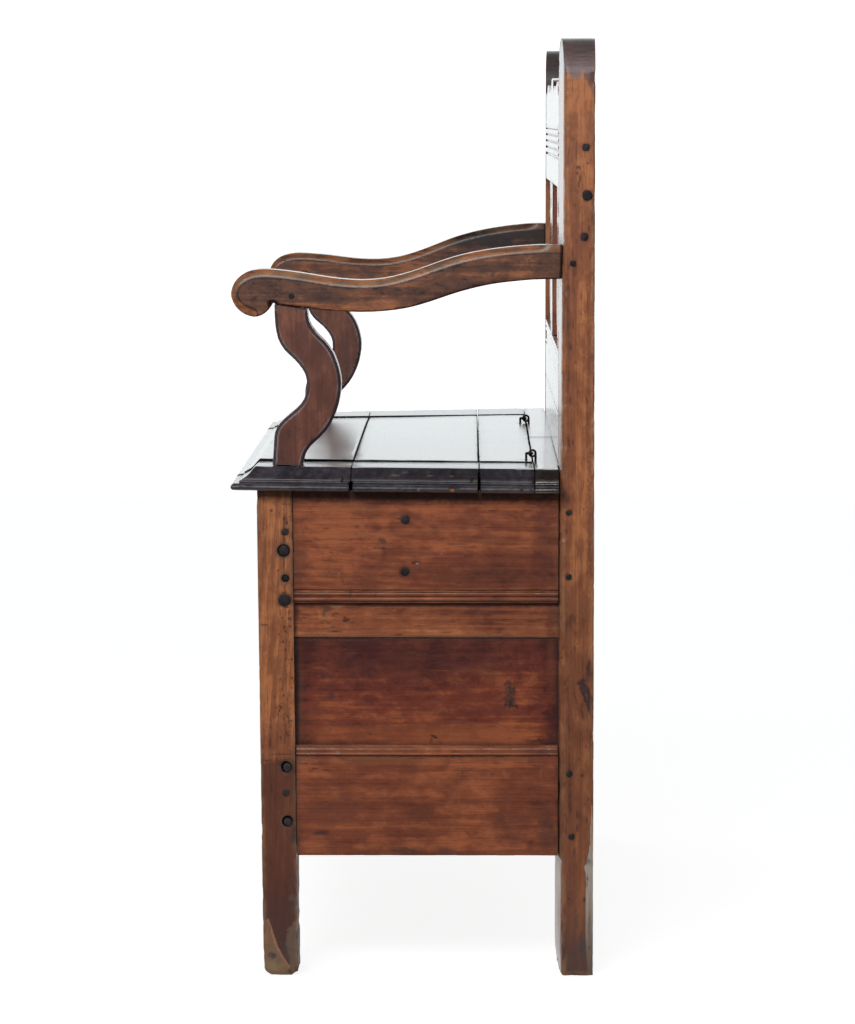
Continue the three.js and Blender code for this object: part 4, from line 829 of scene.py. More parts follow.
LOW_RAIL_MARKS = [
    # the first two marks are painted shade in the quirks of the moulding on the rail's upper edge
    mark(428.0, 756.4, 140.0, 0.9, INK, 0.85, soft=0.5, wob=0.1), mark(428.0, 749.4, 140.0, 0.6, (44, 28, 26), 0.7, soft=0.6, wob=0.1), mark(545.0, 752.0, 16.0, 3.6, (60, 56, 58), 0.5, soft=0.9, wob=0.5), mark(303.0, 752.0, 12.0, 3.0, (60, 54, 54), 0.5, soft=0.9, wob=0.5),
    mark(459.0, 790.0, 0.7, 30.0, (168, 112, 76), 0.55, angle=-3, soft=0.6, wob=0.3), mark(453.5, 812.0, 0.6, 22.0, (160, 104, 72), 0.4, angle=8, soft=0.6, wob=0.3), mark(541.0, 772.0, 0.8, 12.0, (160, 110, 76), 0.5, soft=0.6, wob=0.3),
    mark(321.0, 832.8, 8.5, 2.0, (38, 32, 34), 0.8, angle=5, soft=0.7, wob=0.8), mark(296.0, 838.0, 4.0, 8.0, (40, 38, 42), 0.8, soft=0.8, wob=0.9),
    mark(404.0, 850.5, 16.0, 4.5, (44, 34, 36), 0.7, soft=0.9, wob=0.9), mark(443.0, 851.0, 10.0, 3.0, (60, 36, 32), 0.5, soft=0.9, wob=0.8),
    mark(300.0, 761.5, 6.0, 0.6, (158, 148, 140), 0.6, soft=0.6, wob=0.5), mark(311.0, 764.0, 10.0, 0.6, BLACK, 0.7, angle=-8, soft=0.6, wob=0.3), mark(318.0, 769.0, 14.0, 0.5, BLACK, 0.6, angle=-6, soft=0.6, wob=0.3),
    mark(300.0, 783.0, 4.0, 0.5, (168, 158, 150), 0.7, soft=0.4, wob=0.2), mark(420.0, 815.0, 18.0, 9.0, (82, 44, 34), 0.45, angle=12, soft=0.9, wob=0.8),
    mark(510.0, 825.0, 18.0, 16.0, (84, 46, 38), 0.45, soft=0.9), mark(548.0, 830.0, 12.0, 26.0, (74, 46, 42), 0.55, soft=0.9), mark(538.0, 803.0, 3.0, 2.4, WINE, 0.7, soft=0.8, wob=0.6), mark(531.0, 842.5, 3.4, 2.4, (60, 46, 48), 0.6, soft=0.8, wob=0.6),
    mark(560.0, 770.0, 5.0, 12.0, (50, 36, 34), 0.45, soft=0.9), mark(390.0, 762.0, 70.0, 3.0, (150, 92, 60), 0.45, soft=0.9, wob=0.4), mark(340.0, 810.0, 30.0, 16.0, (122, 70, 48), 0.4, soft=0.9),
    mark(430.0, 854.0, 120.0, 2.0, (48, 30, 28), 0.55, soft=0.8, wob=0.3),
] + dashes(298, 556, 762, 850, 26, 41, a=(1.0, 8.0), b=(0.3, 0.6), color=UMBER, amount=0.5, depth=0.2) \
  + dashes(296, 350, 746, 762, 12, 42, a=(0.6, 2.0), b=(0.4, 1.0), color=(150, 140, 130), amount=0.6, depth=0.3)

STRIP_MARKS = [
    mark(327.0, 609.0, 6.0, 3.2, (48, 42, 38), 0.75, soft=0.9, wob=0.9), mark(336.0, 606.6, 6.0, 0.8, (190, 180, 166), 0.7, soft=0.6, wob=0.6), mark(324.0, 614.0, 2.4, 3.2, (56, 60, 56), 0.7, soft=0.8, wob=0.8),
    mark(362.0, 604.6, 8.0, 1.4, BLACK, 0.85, soft=0.6, wob=0.6, depth=0.4), mark(352.0, 607.8, 9.0, 0.9, (56, 40, 32), 0.7, soft=0.7, wob=0.5), mark(347.0, 620.0, 3.0, 2.0, BLACK, 0.85, soft=0.6, wob=0.6, depth=0.5),
    # painted shade: the mark at 297.0, 612.0 on this line, the band at 440.0, 604.8 under the moulding on the next
    # line, and the mark at 552.0, 620.0 two lines on
    mark(334.0, 631.6, 6.5, 1.1, BLACK, 0.8, angle=6, soft=0.7, wob=0.5, depth=0.4), mark(306.0, 614.6, 5.0, 1.0, INK, 0.7, soft=0.7, wob=0.5), mark(297.0, 612.0, 3.0, 8.0, (60, 32, 28), 0.7, soft=0.9),
    mark(418.0, 611.0, 0.8, 1.4, BLACK, 0.7, wob=0.2), mark(453.0, 621.5, 2.4, 1.0, (60, 40, 36), 0.6, wob=0.4), mark(440.0, 604.8, 130.0, 2.2, (52, 28, 24), 0.6, soft=0.9, wob=0.3),
    mark(425.0, 635.0, 120.0, 2.2, (172, 112, 70), 0.5, soft=0.9, wob=0.3), mark(552.0, 620.0, 7.0, 20.0, (60, 34, 28), 0.6, soft=0.9), mark(480.0, 612.0, 60.0, 4.0, (104, 56, 38), 0.4, soft=0.9),
] + dashes(300, 345, 612, 637, 22, 51, a=(1.2, 4.5), b=(0.35, 0.8), color=BLACK, amount=0.8) \
  + dashes(340, 552, 608, 636, 34, 52, a=(1.5, 9.0), b=(0.3, 0.6), color=(70, 38, 28), amount=0.65, depth=0.2) + dashes(300, 552, 608, 637, 30, 53, a=(3, 16), b=(0.35, 0.7), color=(184, 124, 78), amount=0.45, depth=0.0)

BOARD_MARKS = [
    mark(425.0, 662.0, 140.0, 24.0, (70, 30, 30), 0.62, soft=0.9, wob=0.5), mark(425.0, 734.0, 120.0, 12.0, (150, 84, 50), 0.55, soft=0.9, wob=0.5), mark(320.0, 725.0, 22.0, 20.0, (140, 78, 48), 0.35, soft=0.9),
    mark(301.0, 700.0, 3.5, 50.0, (104, 72, 58), 0.45, soft=0.9), mark(551.0, 668.0, 5.0, 36.0, (132, 72, 48), 0.4, soft=0.9), mark(536.0, 703.0, 14.0, 7.0, (70, 26, 28), 0.6, angle=38, soft=0.9, wob=0.8),
    mark(368.0, 671.5, 8.0, 6.0, (66, 26, 30), 0.6, soft=0.9, wob=0.9), mark(371.0, 699.0, 7.0, 6.0, (70, 30, 32), 0.5, soft=0.9, wob=0.9), mark(325.5, 676.0, 5.0, 4.0, (66, 40, 38), 0.55, soft=0.9, wob=0.9), mark(331.0, 695.0, 4.4, 4.6, (58, 46, 46), 0.6, soft=0.9, wob=0.9),
    mark(345.0, 660.0, 14.0, 7.0, (64, 28, 30), 0.4, soft=0.9, wob=0.9), mark(445.0, 684.0, 8.0, 4.0, (62, 28, 28), 0.45, soft=0.9, wob=0.9), mark(448.0, 668.0, 3.0, 1.6, (60, 28, 26), 0.6, soft=0.8, wob=0.6),
    mark(480.0, 672.0, 26.0, 4.0, (146, 82, 50), 0.35, soft=0.9, angle=-8), mark(400.0, 675.0, 24.0, 3.0, (132, 70, 44), 0.3, soft=0.9, angle=4), mark(318.0, 668.0, 8.0, 1.2, (160, 92, 56), 0.5, soft=0.8, wob=0.6),
    mark(510.0, 693.0, 6.0, 13.0, (60, 48, 44), 0.60, soft=0.9, wob=1.3, depth=0.3), mark(503.5, 695.0, 7.0, 0.7, (120, 84, 66), 0.7, soft=0.6, wob=0.6), mark(512.0, 702.0, 3.0, 4.0, (50, 46, 48), 0.7, soft=0.8, wob=0.8),
    mark(506.5, 705.0, 1.2, 1.2, BLACK, 0.9, wob=0.2, depth=0.6), mark(513.0, 706.0, 1.4, 1.2, BLACK, 0.9, wob=0.2, depth=0.6), mark(516.5, 706.8, 2.0, 1.6, BLACK, 0.85, wob=0.4, depth=0.6), mark(509.0, 682.0, 3.0, 2.4, (60, 48, 44), 0.7, soft=0.8, wob=0.8),
    mark(516.7, 720.7, 2.6, 0.6, (176, 160, 148), 0.8, soft=0.4, wob=0.2), mark(434.5, 736.8, 5.0, 1.1, BLACK, 0.85, angle=-26, soft=0.5, wob=0.5, depth=0.5), mark(431.0, 740.5, 1.0, 4.0, INK, 0.7, angle=-10, wob=0.4), mark(440.0, 742.0, 3.0, 0.7, (60, 50, 44), 0.6, angle=-14, wob=0.3),
    mark(535.0, 741.0, 12.0, 2.4, (46, 22, 22), 0.75, soft=0.9, wob=0.8), mark(316.0, 704.0, 2.4, 3.0, (110, 60, 44), 0.5, soft=0.9), mark(460.0, 712.0, 44.0, 6.0, (96, 44, 34), 0.4, soft=0.9, wob=0.6),
    # painted shade: the two dark bands on this line are the recess shadow at both edges of the panel
    mark(296.5, 690.0, 2.6, 60.0, (24, 16, 16), 0.85, soft=0.9, wob=0.4), mark(559.0, 690.0, 3.2, 60.0, (24, 16, 16), 0.8, soft=0.9, wob=0.4),
] + dashes(504.5, 515.5, 683, 706, 26, 63, a=(0.5, 1.6), b=(0.9, 3.6), color=(46, 40, 38), amount=0.7, depth=0.4) + dashes(305, 550, 645, 740, 30, 61, a=(2.0, 11.0), b=(0.3, 0.7), color=(56, 24, 24), amount=0.5, depth=0.15) \
  + dashes(305, 550, 660, 742, 20, 62, a=(3.0, 14.0), b=(0.4, 0.9), color=(164, 96, 58), amount=0.32, depth=0.0)

NOSE_MARKS = [
    mark(452.3, 490.4, 2.6, 1.9, (196, 112, 50), 0.95, soft=0.5, wob=0.5, depth=0.4, x=552), mark(518.0, 490.0, 3.6, 2.4, (86, 74, 62), 0.8, soft=0.6, wob=0.6, x=552), mark(538.5, 486.4, 1.2, 0.9, (200, 190, 170), 0.9, soft=0.4, wob=0.2, x=552),
    mark(476.0, 488.0, 2.4, 3.4, (120, 78, 48), 0.6, soft=0.9, wob=0.8, x=552), mark(418.5, 490.0, 1.6, 1.2, (180, 146, 108), 0.7, soft=0.6, wob=0.4, x=553), mark(405.0, 473.0, 4.0, 2.2, (100, 96, 96), 0.6, soft=0.9, wob=0.9, x=541),
    mark(395.0, 476.0, 5.0, 1.0, (150, 120, 92), 0.6, soft=0.7, wob=0.6, x=543), mark(430.0, 476.0, 4.0, 1.0, (150, 112, 80), 0.6, soft=0.7, wob=0.6, x=543), mark(452.0, 476.4, 3.0, 1.2, (150, 110, 78), 0.6, soft=0.7, wob=0.6, x=543),
    mark(342.3, 479.0, 0.9, 3.0, (6, 5, 6), 1.0, soft=0.15, wob=0.1, depth=2.0, x=544, rx=12), mark(472.1, 479.0, 0.9, 3.0, (6, 5, 6), 1.0, soft=0.15, wob=0.1, depth=2.0, x=544, rx=12),
    mark(522.4, 490.5, 0.7, 3.6, (6, 5, 6), 1.0, soft=0.2, wob=0.1, depth=2.0, x=553, rx=12), mark(533.3, 482.0, 0.5, 12.0, (6, 5, 6), 0.95, angle=-2, soft=0.25, wob=0.2, depth=1.5, x=545, rx=20),
    mark(531.8, 489.0, 1.4, 1.6, (8, 7, 8), 1.0, soft=0.3, wob=0.4, depth=1.5, x=553, rx=12), mark(440.0, 476.8, 110.0, 0.7, (88, 62, 50), 0.55, soft=0.9, wob=0.6, x=543, rx=12), mark(505.0, 488.0, 30.0, 1.0, (104, 78, 60), 0.4, soft=0.9, wob=0.8, x=553, rx=12),
] + dashes(360, 555, 478, 492, 34, 71, a=(0.5, 1.6), b=(0.35, 0.9), color=(118, 104, 92), amount=0.6, depth=0.3) + dashes(240, 350, 478, 490, 10, 72, a=(0.5, 1.8), b=(0.3, 0.7), color=(118, 104, 92), amount=0.5, depth=0.3)

ARM_MARKS = [
    mark(255.0, 285.0, 9.0, 8.0, (78, 48, 38), 0.5, soft=0.9, wob=0.9), mark(300.0, 279.0, 10.0, 4.0, (56, 42, 40), 0.55, soft=0.9, wob=0.9), mark(291.5, 296.2, 5.5, 4.0, (52, 40, 38), 0.55, soft=0.9, wob=0.8),
    # the first mark on this line, black in the corner behind the scroll, is painted shade
    mark(272.0, 303.0, 6.0, 3.5, (18, 14, 14), 0.9, soft=0.8, wob=0.3), mark(330.0, 300.0, 22.0, 5.0, (60, 38, 34), 0.45, soft=0.9, wob=0.9), mark(365.0, 288.0, 8.0, 5.0, (150, 84, 54), 0.45, soft=0.9, wob=0.9),
    mark(352.0, 301.0, 10.0, 5.0, (126, 70, 50), 0.35, soft=0.9, wob=0.9), mark(400.0, 292.0, 12.0, 6.0, (58, 38, 36), 0.45, soft=0.9, wob=0.9), mark(440.0, 272.0, 14.0, 5.0, (60, 40, 38), 0.45, soft=0.9, wob=0.9, angle=16),
    mark(428.0, 286.0, 10.0, 4.0, (140, 80, 54), 0.35, soft=0.9, wob=0.9, angle=16), mark(500.0, 268.0, 26.0, 8.0, (50, 34, 34), 0.5, soft=0.9, wob=0.9, angle=8), mark(545.0, 262.0, 16.0, 10.0, (48, 34, 36), 0.55, soft=0.9, wob=0.9),
    mark(480.0, 259.0, 22.0, 2.0, (150, 104, 74), 0.35, soft=0.9, wob=0.6, angle=10), mark(530.0, 252.0, 26.0, 2.0, (146, 100, 74), 0.35, soft=0.9, wob=0.6, angle=3), mark(262.0, 301.0, 5.0, 5.0, (130, 84, 58), 0.4, soft=0.9, wob=0.8),
] + dashes(240, 330, 276, 300, 26, 81, a=(0.5, 1.6), b=(0.4, 1.0), color=(34, 26, 26), amount=0.7) + dashes(320, 555, 252, 306, 60, 82, a=(0.6, 3.2), b=(0.4, 1.1), color=(36, 26, 28), amount=0.6, angle=(0, 18))

SUPPORT_MARKS = [
    mark(279.0, 330.0, 2.0, 20.0, (70, 44, 38), 0.5, soft=0.9), mark(281.0, 455.0, 4.0, 12.0, (64, 42, 40), 0.45, soft=0.9), mark(318.0, 345.0, 5.0, 9.0, (84, 50, 44), 0.45, soft=0.9, angle=-30),
    mark(325.0, 400.0, 7.0, 16.0, (82, 48, 42), 0.4, soft=0.9), mark(300.0, 432.0, 8.0, 8.0, (86, 52, 46), 0.4, soft=0.9), mark(296.0, 340.0, 6.0, 10.0, (82, 50, 44), 0.35, soft=0.9), mark(311.0, 380.0, 5.0, 8.0, (140, 90, 66), 0.3, soft=0.9),
] + dashes(278, 336, 315, 460, 26, 91, a=(0.3, 0.8), b=(1.0, 5.0), color=(56, 34, 30), amount=0.45, depth=0.2)


PLAN = []


def plan(node, kind, axis, **kw):
    PLAN.append((node, kind, axis, kw))


def chamfer(co2, x1, y1, wx, wy, amount):
    """Pushes the points beyond a sloping cut across the outer rear corner back onto it."""
    s = (co2[:, 0] - (x1 - wx)) / wx + (co2[:, 1] - (y1 - wy)) / wy - 1.0
    s = np.maximum(s, 0.0) * amount
    k = s / (1.0 / wx ** 2 + 1.0 / wy ** 2)
    co2[:, 0] -= k / wx
    co2[:, 1] -= k / wy
    return s


def front_wedge(x, z):
    """The front faces of the back posts are planed off at a slant above the seat and below the rails."""
    t = np.clip((x - 0.458) / 0.072, 0, 1)
    up = 0.0020 + 0.0007 * np.clip((z - 0.56) / 0.18, 0, 1) + 0.0014 * smooth(0.745, 0.785, z)
    return t * (up * smooth(0.5405, 0.5450, z) + 0.0030 * smooth(0.128, 0.122, z))


def rim_gap(co, rim):
    """How far each point is from the points of the rim, seen from the end of the bench, in mm."""
    pts = co[rim]
    kd = KDTree(len(pts))
    for i, q in enumerate(pts):
        kd.insert((0.0, q[1], q[2]), i)
    kd.balance()
    return np.array([kd.find((0.0, q[1], q[2]))[2] for q in co]) / MM


def outer(co, no):
    """Points on the narrow sides of a piece that are near its long faces, so not in its mortices."""
    lo, hi = co[:, 0].min(), co[:, 0].max()
    return (np.abs(no[:, 0]) < 0.5) & ((co[:, 0] > hi - 2.2 * MM) | (co[:, 0] < lo + 2.2 * MM))


def arm_rims(co, no):
    side = outer(co, no)
    nook = spot(272.6, 303.6, 523)
    hollow = (np.abs(co[:, 1] - nook.y) < 0.016) & (co[:, 2] < nook.z + 0.008)
    upper = side & ~hollow & ((no[:, 2] > 0.05) | ((co[:, 1] < -0.170) & (no[:, 1] < -0.1) & (no[:, 2] > -0.90)))
    return rim_gap(co, upper), rim_gap(co, side & ~upper)


def narrow(c, co, depth):
    """Draws the long faces in by depth, in mm, towards the middle of the piece."""
    lo, hi = co[:, 0].min(), co[:, 0].max()
    c[:, 0] -= (co[:, 0] - (lo + hi) / 2) * depth * MM / ((hi - lo) / 2)


def arm_move(sign):
    def move(co, no, co2, attrs):
        c = co2.copy()
        up, down = arm_rims(co, no)
        body = smooth(0.150, 0.130, co[:, 1])
        wide = 8.6 - 3.6 * smooth(-0.175, -0.196, co[:, 1])
        narrow(c, co, body * (4.2 * np.clip(1 - up / wide, 0, 1) ** 1.7 + 0.9 * np.clip(1 - down / 1.4, 0, 1)))
        c[:, 1] += front_wedge(c[:, 0] * sign, co[:, 2]) * np.clip((co[:, 1] - 0.147) / 0.008, 0, 1)
        return c
    return move


def arm_paint(sign):
    nook = spot(272.6, 303.6, 523)

    def paint(co, no, attrs):
        up, down = arm_rims(co, no)
        flat = smooth(0.5, 0.9, np.abs(no[:, 0]))
        n = vnoise(co, (60, 60, 60), 61)
        n2 = vnoise(co, (220, 220, 220), 63)
        wide = 8.6 - 3.6 * smooth(-0.175, -0.196, co[:, 1]) + 0.8 * (n - 0.5)
        # a lighter band along the rounded upper edge, a painted highlight mixed in as edge wear, with a line of painted
        # shade in the crease under it
        band = smooth(0.0, 1.0, wide - up) * flat
        crease_shade = smooth(1.3, 0.3, np.abs(up - wide - 0.4)) * flat
        attrs["wear"] = attrs["wear"] * 0.2 * smooth(1.0, 3.0, down) + band * (0.62 + 0.55 * (n2 - 0.4)) * (1 - 0.35 * smooth(-0.10, 0.10, co[:, 1]))
        attrs["tone"] += 0.25 * band - 0.75 * crease_shade * (0.35 + 0.9 * n)
        attrs["stain"] += 0.30 * crease_shade * n
        # painted shade, black and dull, along the lower arris and in the corner behind the scroll
        low = smooth(1.7, 0.7, down)
        d = np.hypot((co[:, 1] - nook.y) / 0.0060, (co[:, 2] - nook.z) / 0.0042)
        low = np.maximum(low, smooth(1.3, 0.7, d))
        attrs["stain"] += 1.5 * low
        attrs["dull"] = np.maximum(attrs["dull"], low)
        attrs["wear"] *= 1 - low
        # darker towards the rear, more so on the left arm
        rear = smooth(-0.02, 0.10, co[:, 1])
        attrs["tone"] -= (0.42 if sign > 0 else 0.60) * rear * flat
        attrs["stain"] += 0.34 * smooth(0.45, 0.85, vnoise(co, (50, 30, 50), 62)) * flat * (0.6 + rear)
    return paint


def support_gap(co, no):
    return rim_gap(co, outer(co, no) & (np.abs(no[:, 2]) < 0.93) & (co[:, 2] < 0.7085))


def support_paint(co, no, attrs):
    """Painted bluish-grey reflection on the chamfers, dull, and a painted highlight line beside them."""
    d = support_gap(co, no)
    flat = smooth(0.5, 0.8, np.abs(no[:, 0]))
    chamfer_reflection = smooth(3.8, 3.0, d) * flat
    attrs["stain"] += 1.1 * chamfer_reflection
    attrs["wear"] = 1.25 * smooth(0.9, 0.2, np.abs(d - 4.0)) * flat
    attrs["dull"] = np.maximum(attrs["dull"], 0.6 * chamfer_reflection)


def support_move(co, no, co2, attrs):
    c = co2.copy()
    d = support_gap(co, no)
    ends = smooth(0.545, 0.549, co[:, 2]) * smooth(0.713, 0.706, co[:, 2])
    narrow(c, co, 3.5 * np.clip(1 - d / 3.5, 0, 1) * ends)
    c[:, 2] += seat_twist(co) * smooth(0.60, 0.546, co[:, 2])
    return c


def arm_width(mid, n1, n2):
    return 0.4 if mid.y > 0.150 else 0.9


def support_width(mid, n1, n2):
    return 0.3 if abs(n1.z) > 0.95 or abs(n2.z) > 0.95 else 0.5


def board_width(mid, n1, n2):
    top = max(n1.z, n2.z) > 0.9
    if top and abs(abs(mid.x) - 0.4156) < 0.0014:
        return 0.7
    if top and max(abs(n1.y), abs(n2.y)) > 0.9 and mid.y > -0.10:
        return 1.9
    return 1.0


def joint_paint(co, no, attrs):
    """The open joints between the seat boards and the cut ends of the lid, painted dark and dull with no rubbed edge:
    dirt in the joints and painted shade.
    """
    slope = smooth(0.985, 0.90, no[:, 2]) * smooth(0.02, 0.25, no[:, 2])
    at_end = smooth(0.0052, 0.0030, np.abs(np.abs(co[:, 0]) - 0.4156))
    at_side = np.zeros(len(co))
    for yj in (-0.0655, 0.0705, 0.1290):
        at_side = np.maximum(at_side, smooth(0.0050, 0.0026, np.abs(co[:, 1] - yj)))
    at_side *= smooth(0.45, 0.20, np.abs(no[:, 0])) * smooth(0.538, 0.541, co[:, 2])
    k = np.maximum(slope * at_side, at_end * smooth(0.99, 0.90, no[:, 2]) * smooth(0.530, 0.533, co[:, 2]))
    attrs["dull"] = np.maximum(attrs["dull"], k)
    attrs["stain"] += 1.4 * k
    attrs["wear"] *= 1 - k
    attrs["tone"] -= 0.6 * k


def seat_twist(co):
    """The seat boards have gone out of true: low at the left front, high at the left rear."""
    t = np.clip((0.35 - co[:, 0]) / 0.906, 0, 1) ** 1.7
    return t * np.clip(-4.4 + 30.3 * (co[:, 1] + 0.1157), -4.6, 3.9) * MM


def seat_top(co):
    return smooth(0.521, 0.540, co[:, 2])


def end_move(co, no, co2, attrs):
    c = co2.copy()
    sag = np.interp(co[:, 1], [-0.17, 0.10], [2.3, 1.2]) * smooth(0.500, 0.4164, co[:, 0]) * (co[:, 0] > 0)
    c[:, 2] += (seat_twist(co) - sag * MM) * seat_top(co)
    return c


def rear_paint(co, no, attrs):
    joint_paint(co, no, attrs)
    attrs["stain"] += 1.2 * smooth(0.4, 0.8, np.abs(no[:, 0]))


def lid_move(co, no, co2, attrs):
    """The lid has warped: it stands a little proud at the right-hand end and low at the left."""
    c = co2.copy()
    w = np.interp(co[:, 1], [-0.17, -0.07, 0.0, 0.07, 0.13], [1.0, 0.8, 0.6, 0.35, 0.3])
    d = 0.3 * smooth(0.24, 0.4148, co[:, 0]) - 2.0 * smooth(-0.26, -0.4148, co[:, 0])
    c[:, 2] += (d * w * MM + seat_twist(co)) * seat_top(co)
    return c


def crest_paint(co, no, attrs):
    x = np.abs(co[:, 0])
    k = smooth(0.032, 0.026, np.abs(x - 0.085)) * smooth(0.925, 0.940, co[:, 2]) * smooth(0.7, 0.4, np.abs(no[:, 1]))
    attrs["stain"] += 1.4 * k
    attrs["dull"] = np.maximum(attrs["dull"], k)
    attrs["wear"] *= 1 - k


def crest_move(co, no, co2, attrs):
    """Cusps cut into the upper edge of the crest rail."""
    c = co2.copy()
    x = np.abs(co[:, 0])
    v = 0.016 * np.maximum(0, 1 - np.abs(x - 0.085) / 0.030) + 0.010 * np.maximum(0, 1 - np.abs(x - 0.390) / 0.035)
    c[:, 2] -= v * smooth(0.925, 0.960, co[:, 2])
    return c


def post_paint(sign):
    def paint(co, no, attrs):
        x, y, z = co[:, 0] * sign, co[:, 1], co[:, 2]
        front = smooth(0.3, 0.8, -no[:, 1])
        low = smooth(0.135, 0.120, z) * 0.55 + 0.5 * smooth(0.66, 0.56, z) * smooth(0.540, 0.545, z)
        attrs["dull"] = np.maximum(attrs["dull"], front * low * (0.6 + 0.6 * vnoise(co, (60, 60, 30), 71)))
        shut = front * smooth(0.1262, 0.1285, z) * smooth(0.170, 0.150, z)
        attrs["dull"] = np.maximum(attrs["dull"], shut)
        attrs["stain"] += 1.3 * shut
        attrs["wear"] *= 1 - 0.85 * smooth(0.945, 0.965, z)
        # the outer rear arris is rubbed pale
        d = np.hypot(x - 0.530, y - 0.193) / MM
        pale = smooth(2.6, 0.8, d) * smooth(0.25, 0.45, z) * smooth(0.945, 0.925, z)
        attrs["bare"] = np.maximum(attrs["bare"], pale * (0.25 + 0.5 * vnoise(co, (40, 40, 60), 72)))
    return paint


def post_move(sign):
    # how wide the bare waney edge is, down the outer rear corner
    zs = [spot(592, v, 530).z for v in (976, 940, 900, 874, 867, 861, 850, 817, 776, 752)]
    ws = [7.0, 8.8, 8.8, 8.6, 10.4, 7.6, 5.2, 3.0, 1.3, 0.2]

    def move(co, no, co2, attrs):
        c = co2.copy()
        c[:, 0] *= sign
        z = co[:, 2]
        size = np.interp(z, zs, ws) * 1.04 * MM * (1 + 0.10 * (vnoise(co, (1, 1, 90), 77) - 0.5)) + 0.0001
        s = chamfer(c, 0.530, 0.193, size * 0.38, size, 1.0)
        c[:, 1] += front_wedge(c[:, 0], z) * np.clip(1 - (co[:, 1] - 0.1554) / 0.020, 0, 1)
        # below the rails the inner arris stands a little further forward
        inner = np.clip((0.532 - c[:, 0]) / 0.040, 0, 1) * smooth(0.127, 0.118, z) * np.clip(1 - (co[:, 1] - 0.1554) / 0.020, 0, 1)
        c[:, 1] -= 0.0022 * inner * smooth(0.0, 0.03, z)
        attrs["bare"] = np.maximum(attrs["bare"], smooth(0.02, 0.12, s) * smooth(zs[-2] + 0.01, zs[-2] - 0.02, z))
        back = smooth(0.2, 0.6, no[:, 1]) * smooth(0.500, 0.512, co[:, 0] * sign) * smooth(zs[5], zs[5] - 0.01, z)
        attrs["bare"] = np.maximum(attrs["bare"], back)
        attrs["wear"] *= 1 - back
        # the foot has lost its sharp corners
        front = np.maximum(0, 0.1554 + 0.006 - c[:, 1])
        foot = 0.004 * smooth(0.0, 0.006, front) * smooth(0.012, 0.0, z)
        c[:, 2] += foot * (0.5 + vnoise(co, (200, 200, 200), 78))
        c[:, 0] *= sign
        return c
    return move


def leg_paint(co, no, attrs):
    rear = smooth(0.3, 0.8, no[:, 1]) * smooth(0.14, 0.12, co[:, 2])
    attrs["dull"] = np.maximum(attrs["dull"], rear)
    attrs["stain"] += 0.5 * rear


def leg_move(sign):
    def move(co, no, co2, attrs):
        c = co2.copy()
        x = c[:, 0] * sign
        y, z = c[:, 1].copy(), c[:, 2].copy()
        y0, y1 = co[:, 1][co[:, 2] < 0.02].min(), co[:, 1][co[:, 2] < 0.02].max()
        near = smooth(0.470, 0.500, x)
        jag = 0.0022 * (vnoise(co, (160, 260, 160), 81) - 0.4)
        rise_f = np.maximum(0, 1 - (y - y0) / 0.0095) * (0.0060 + jag)
        rise_r = np.maximum(0, 1 - (y1 - y) / 0.0075) * (0.0052 + jag)
        floor_z = np.maximum(rise_f, rise_r) * (0.35 + 0.65 * near)
        floor_z = np.maximum(floor_z, 0.0008 * vnoise(co, (260, 260, 260), 82))
        c[:, 2] = np.maximum(z, floor_z)
        # worn hollows along the lower edges
        low = smooth(0.14, 0.02, co[:, 2])
        edge_n = np.maximum(0, 1 - (y1 - y) / 0.004)
        c[:, 1] -= edge_n * low * 0.0022 * smooth(0.45, 0.8, vnoise(co, (80, 20, 120), 83))
        edge_f = np.maximum(0, 1 - (y - y0) / 0.004)
        c[:, 1] += edge_f * low * 0.0016 * smooth(0.5, 0.8, vnoise(co, (80, 20, 90), 84))
        attrs["bare"] = np.maximum(attrs["bare"], 0.75 * smooth(0.010, 0.001, co[:, 2]))
        return c
    return move


def gap_move(sign, edges):
    """Opens the joints of the seat-end moulding. edges: (Y of the joint, side of the piece, width, Z limits)."""
    def move(co, no, co2, attrs):
        c = co2.copy()
        x = co[:, 0] * sign
        for yj, way, width, z0, z1 in edges:
            near = np.maximum(0, 1 - np.abs(co[:, 1] - yj * MM) / (4 * MM)) ** 0.6
            band = smooth((z0 - 0.8) * MM, z0 * MM, co[:, 2]) * smooth((z1 + 0.8) * MM, z1 * MM, co[:, 2])
            out = smooth(0.530, 0.536, x)
            c[:, 1] += way * near * band * out * width * MM * (0.7 + 0.6 * vnoise(co, (300, 20, 300), 85))
        c = end_move(co, no, c, attrs)
        return c
    return move


def board_paint(co, no, attrs):
    """Painted shade darker towards the frame at both ends, where the recess shades the board; also darker towards the
    top, and warmer along the foot of the board.
    """
    y, z = co[:, 1], co[:, 2]
    lo, hi = y.min(), y.max()
    edge = np.maximum(smooth(0.040, 0.012, y - lo), smooth(0.036, 0.012, hi - y))
    attrs["tone"] -= 0.55 * edge + 0.25 * smooth(0.330, 0.352, z)
    attrs["tone"] += 0.40 * smooth(0.275, 0.255, z) * (1 - edge)


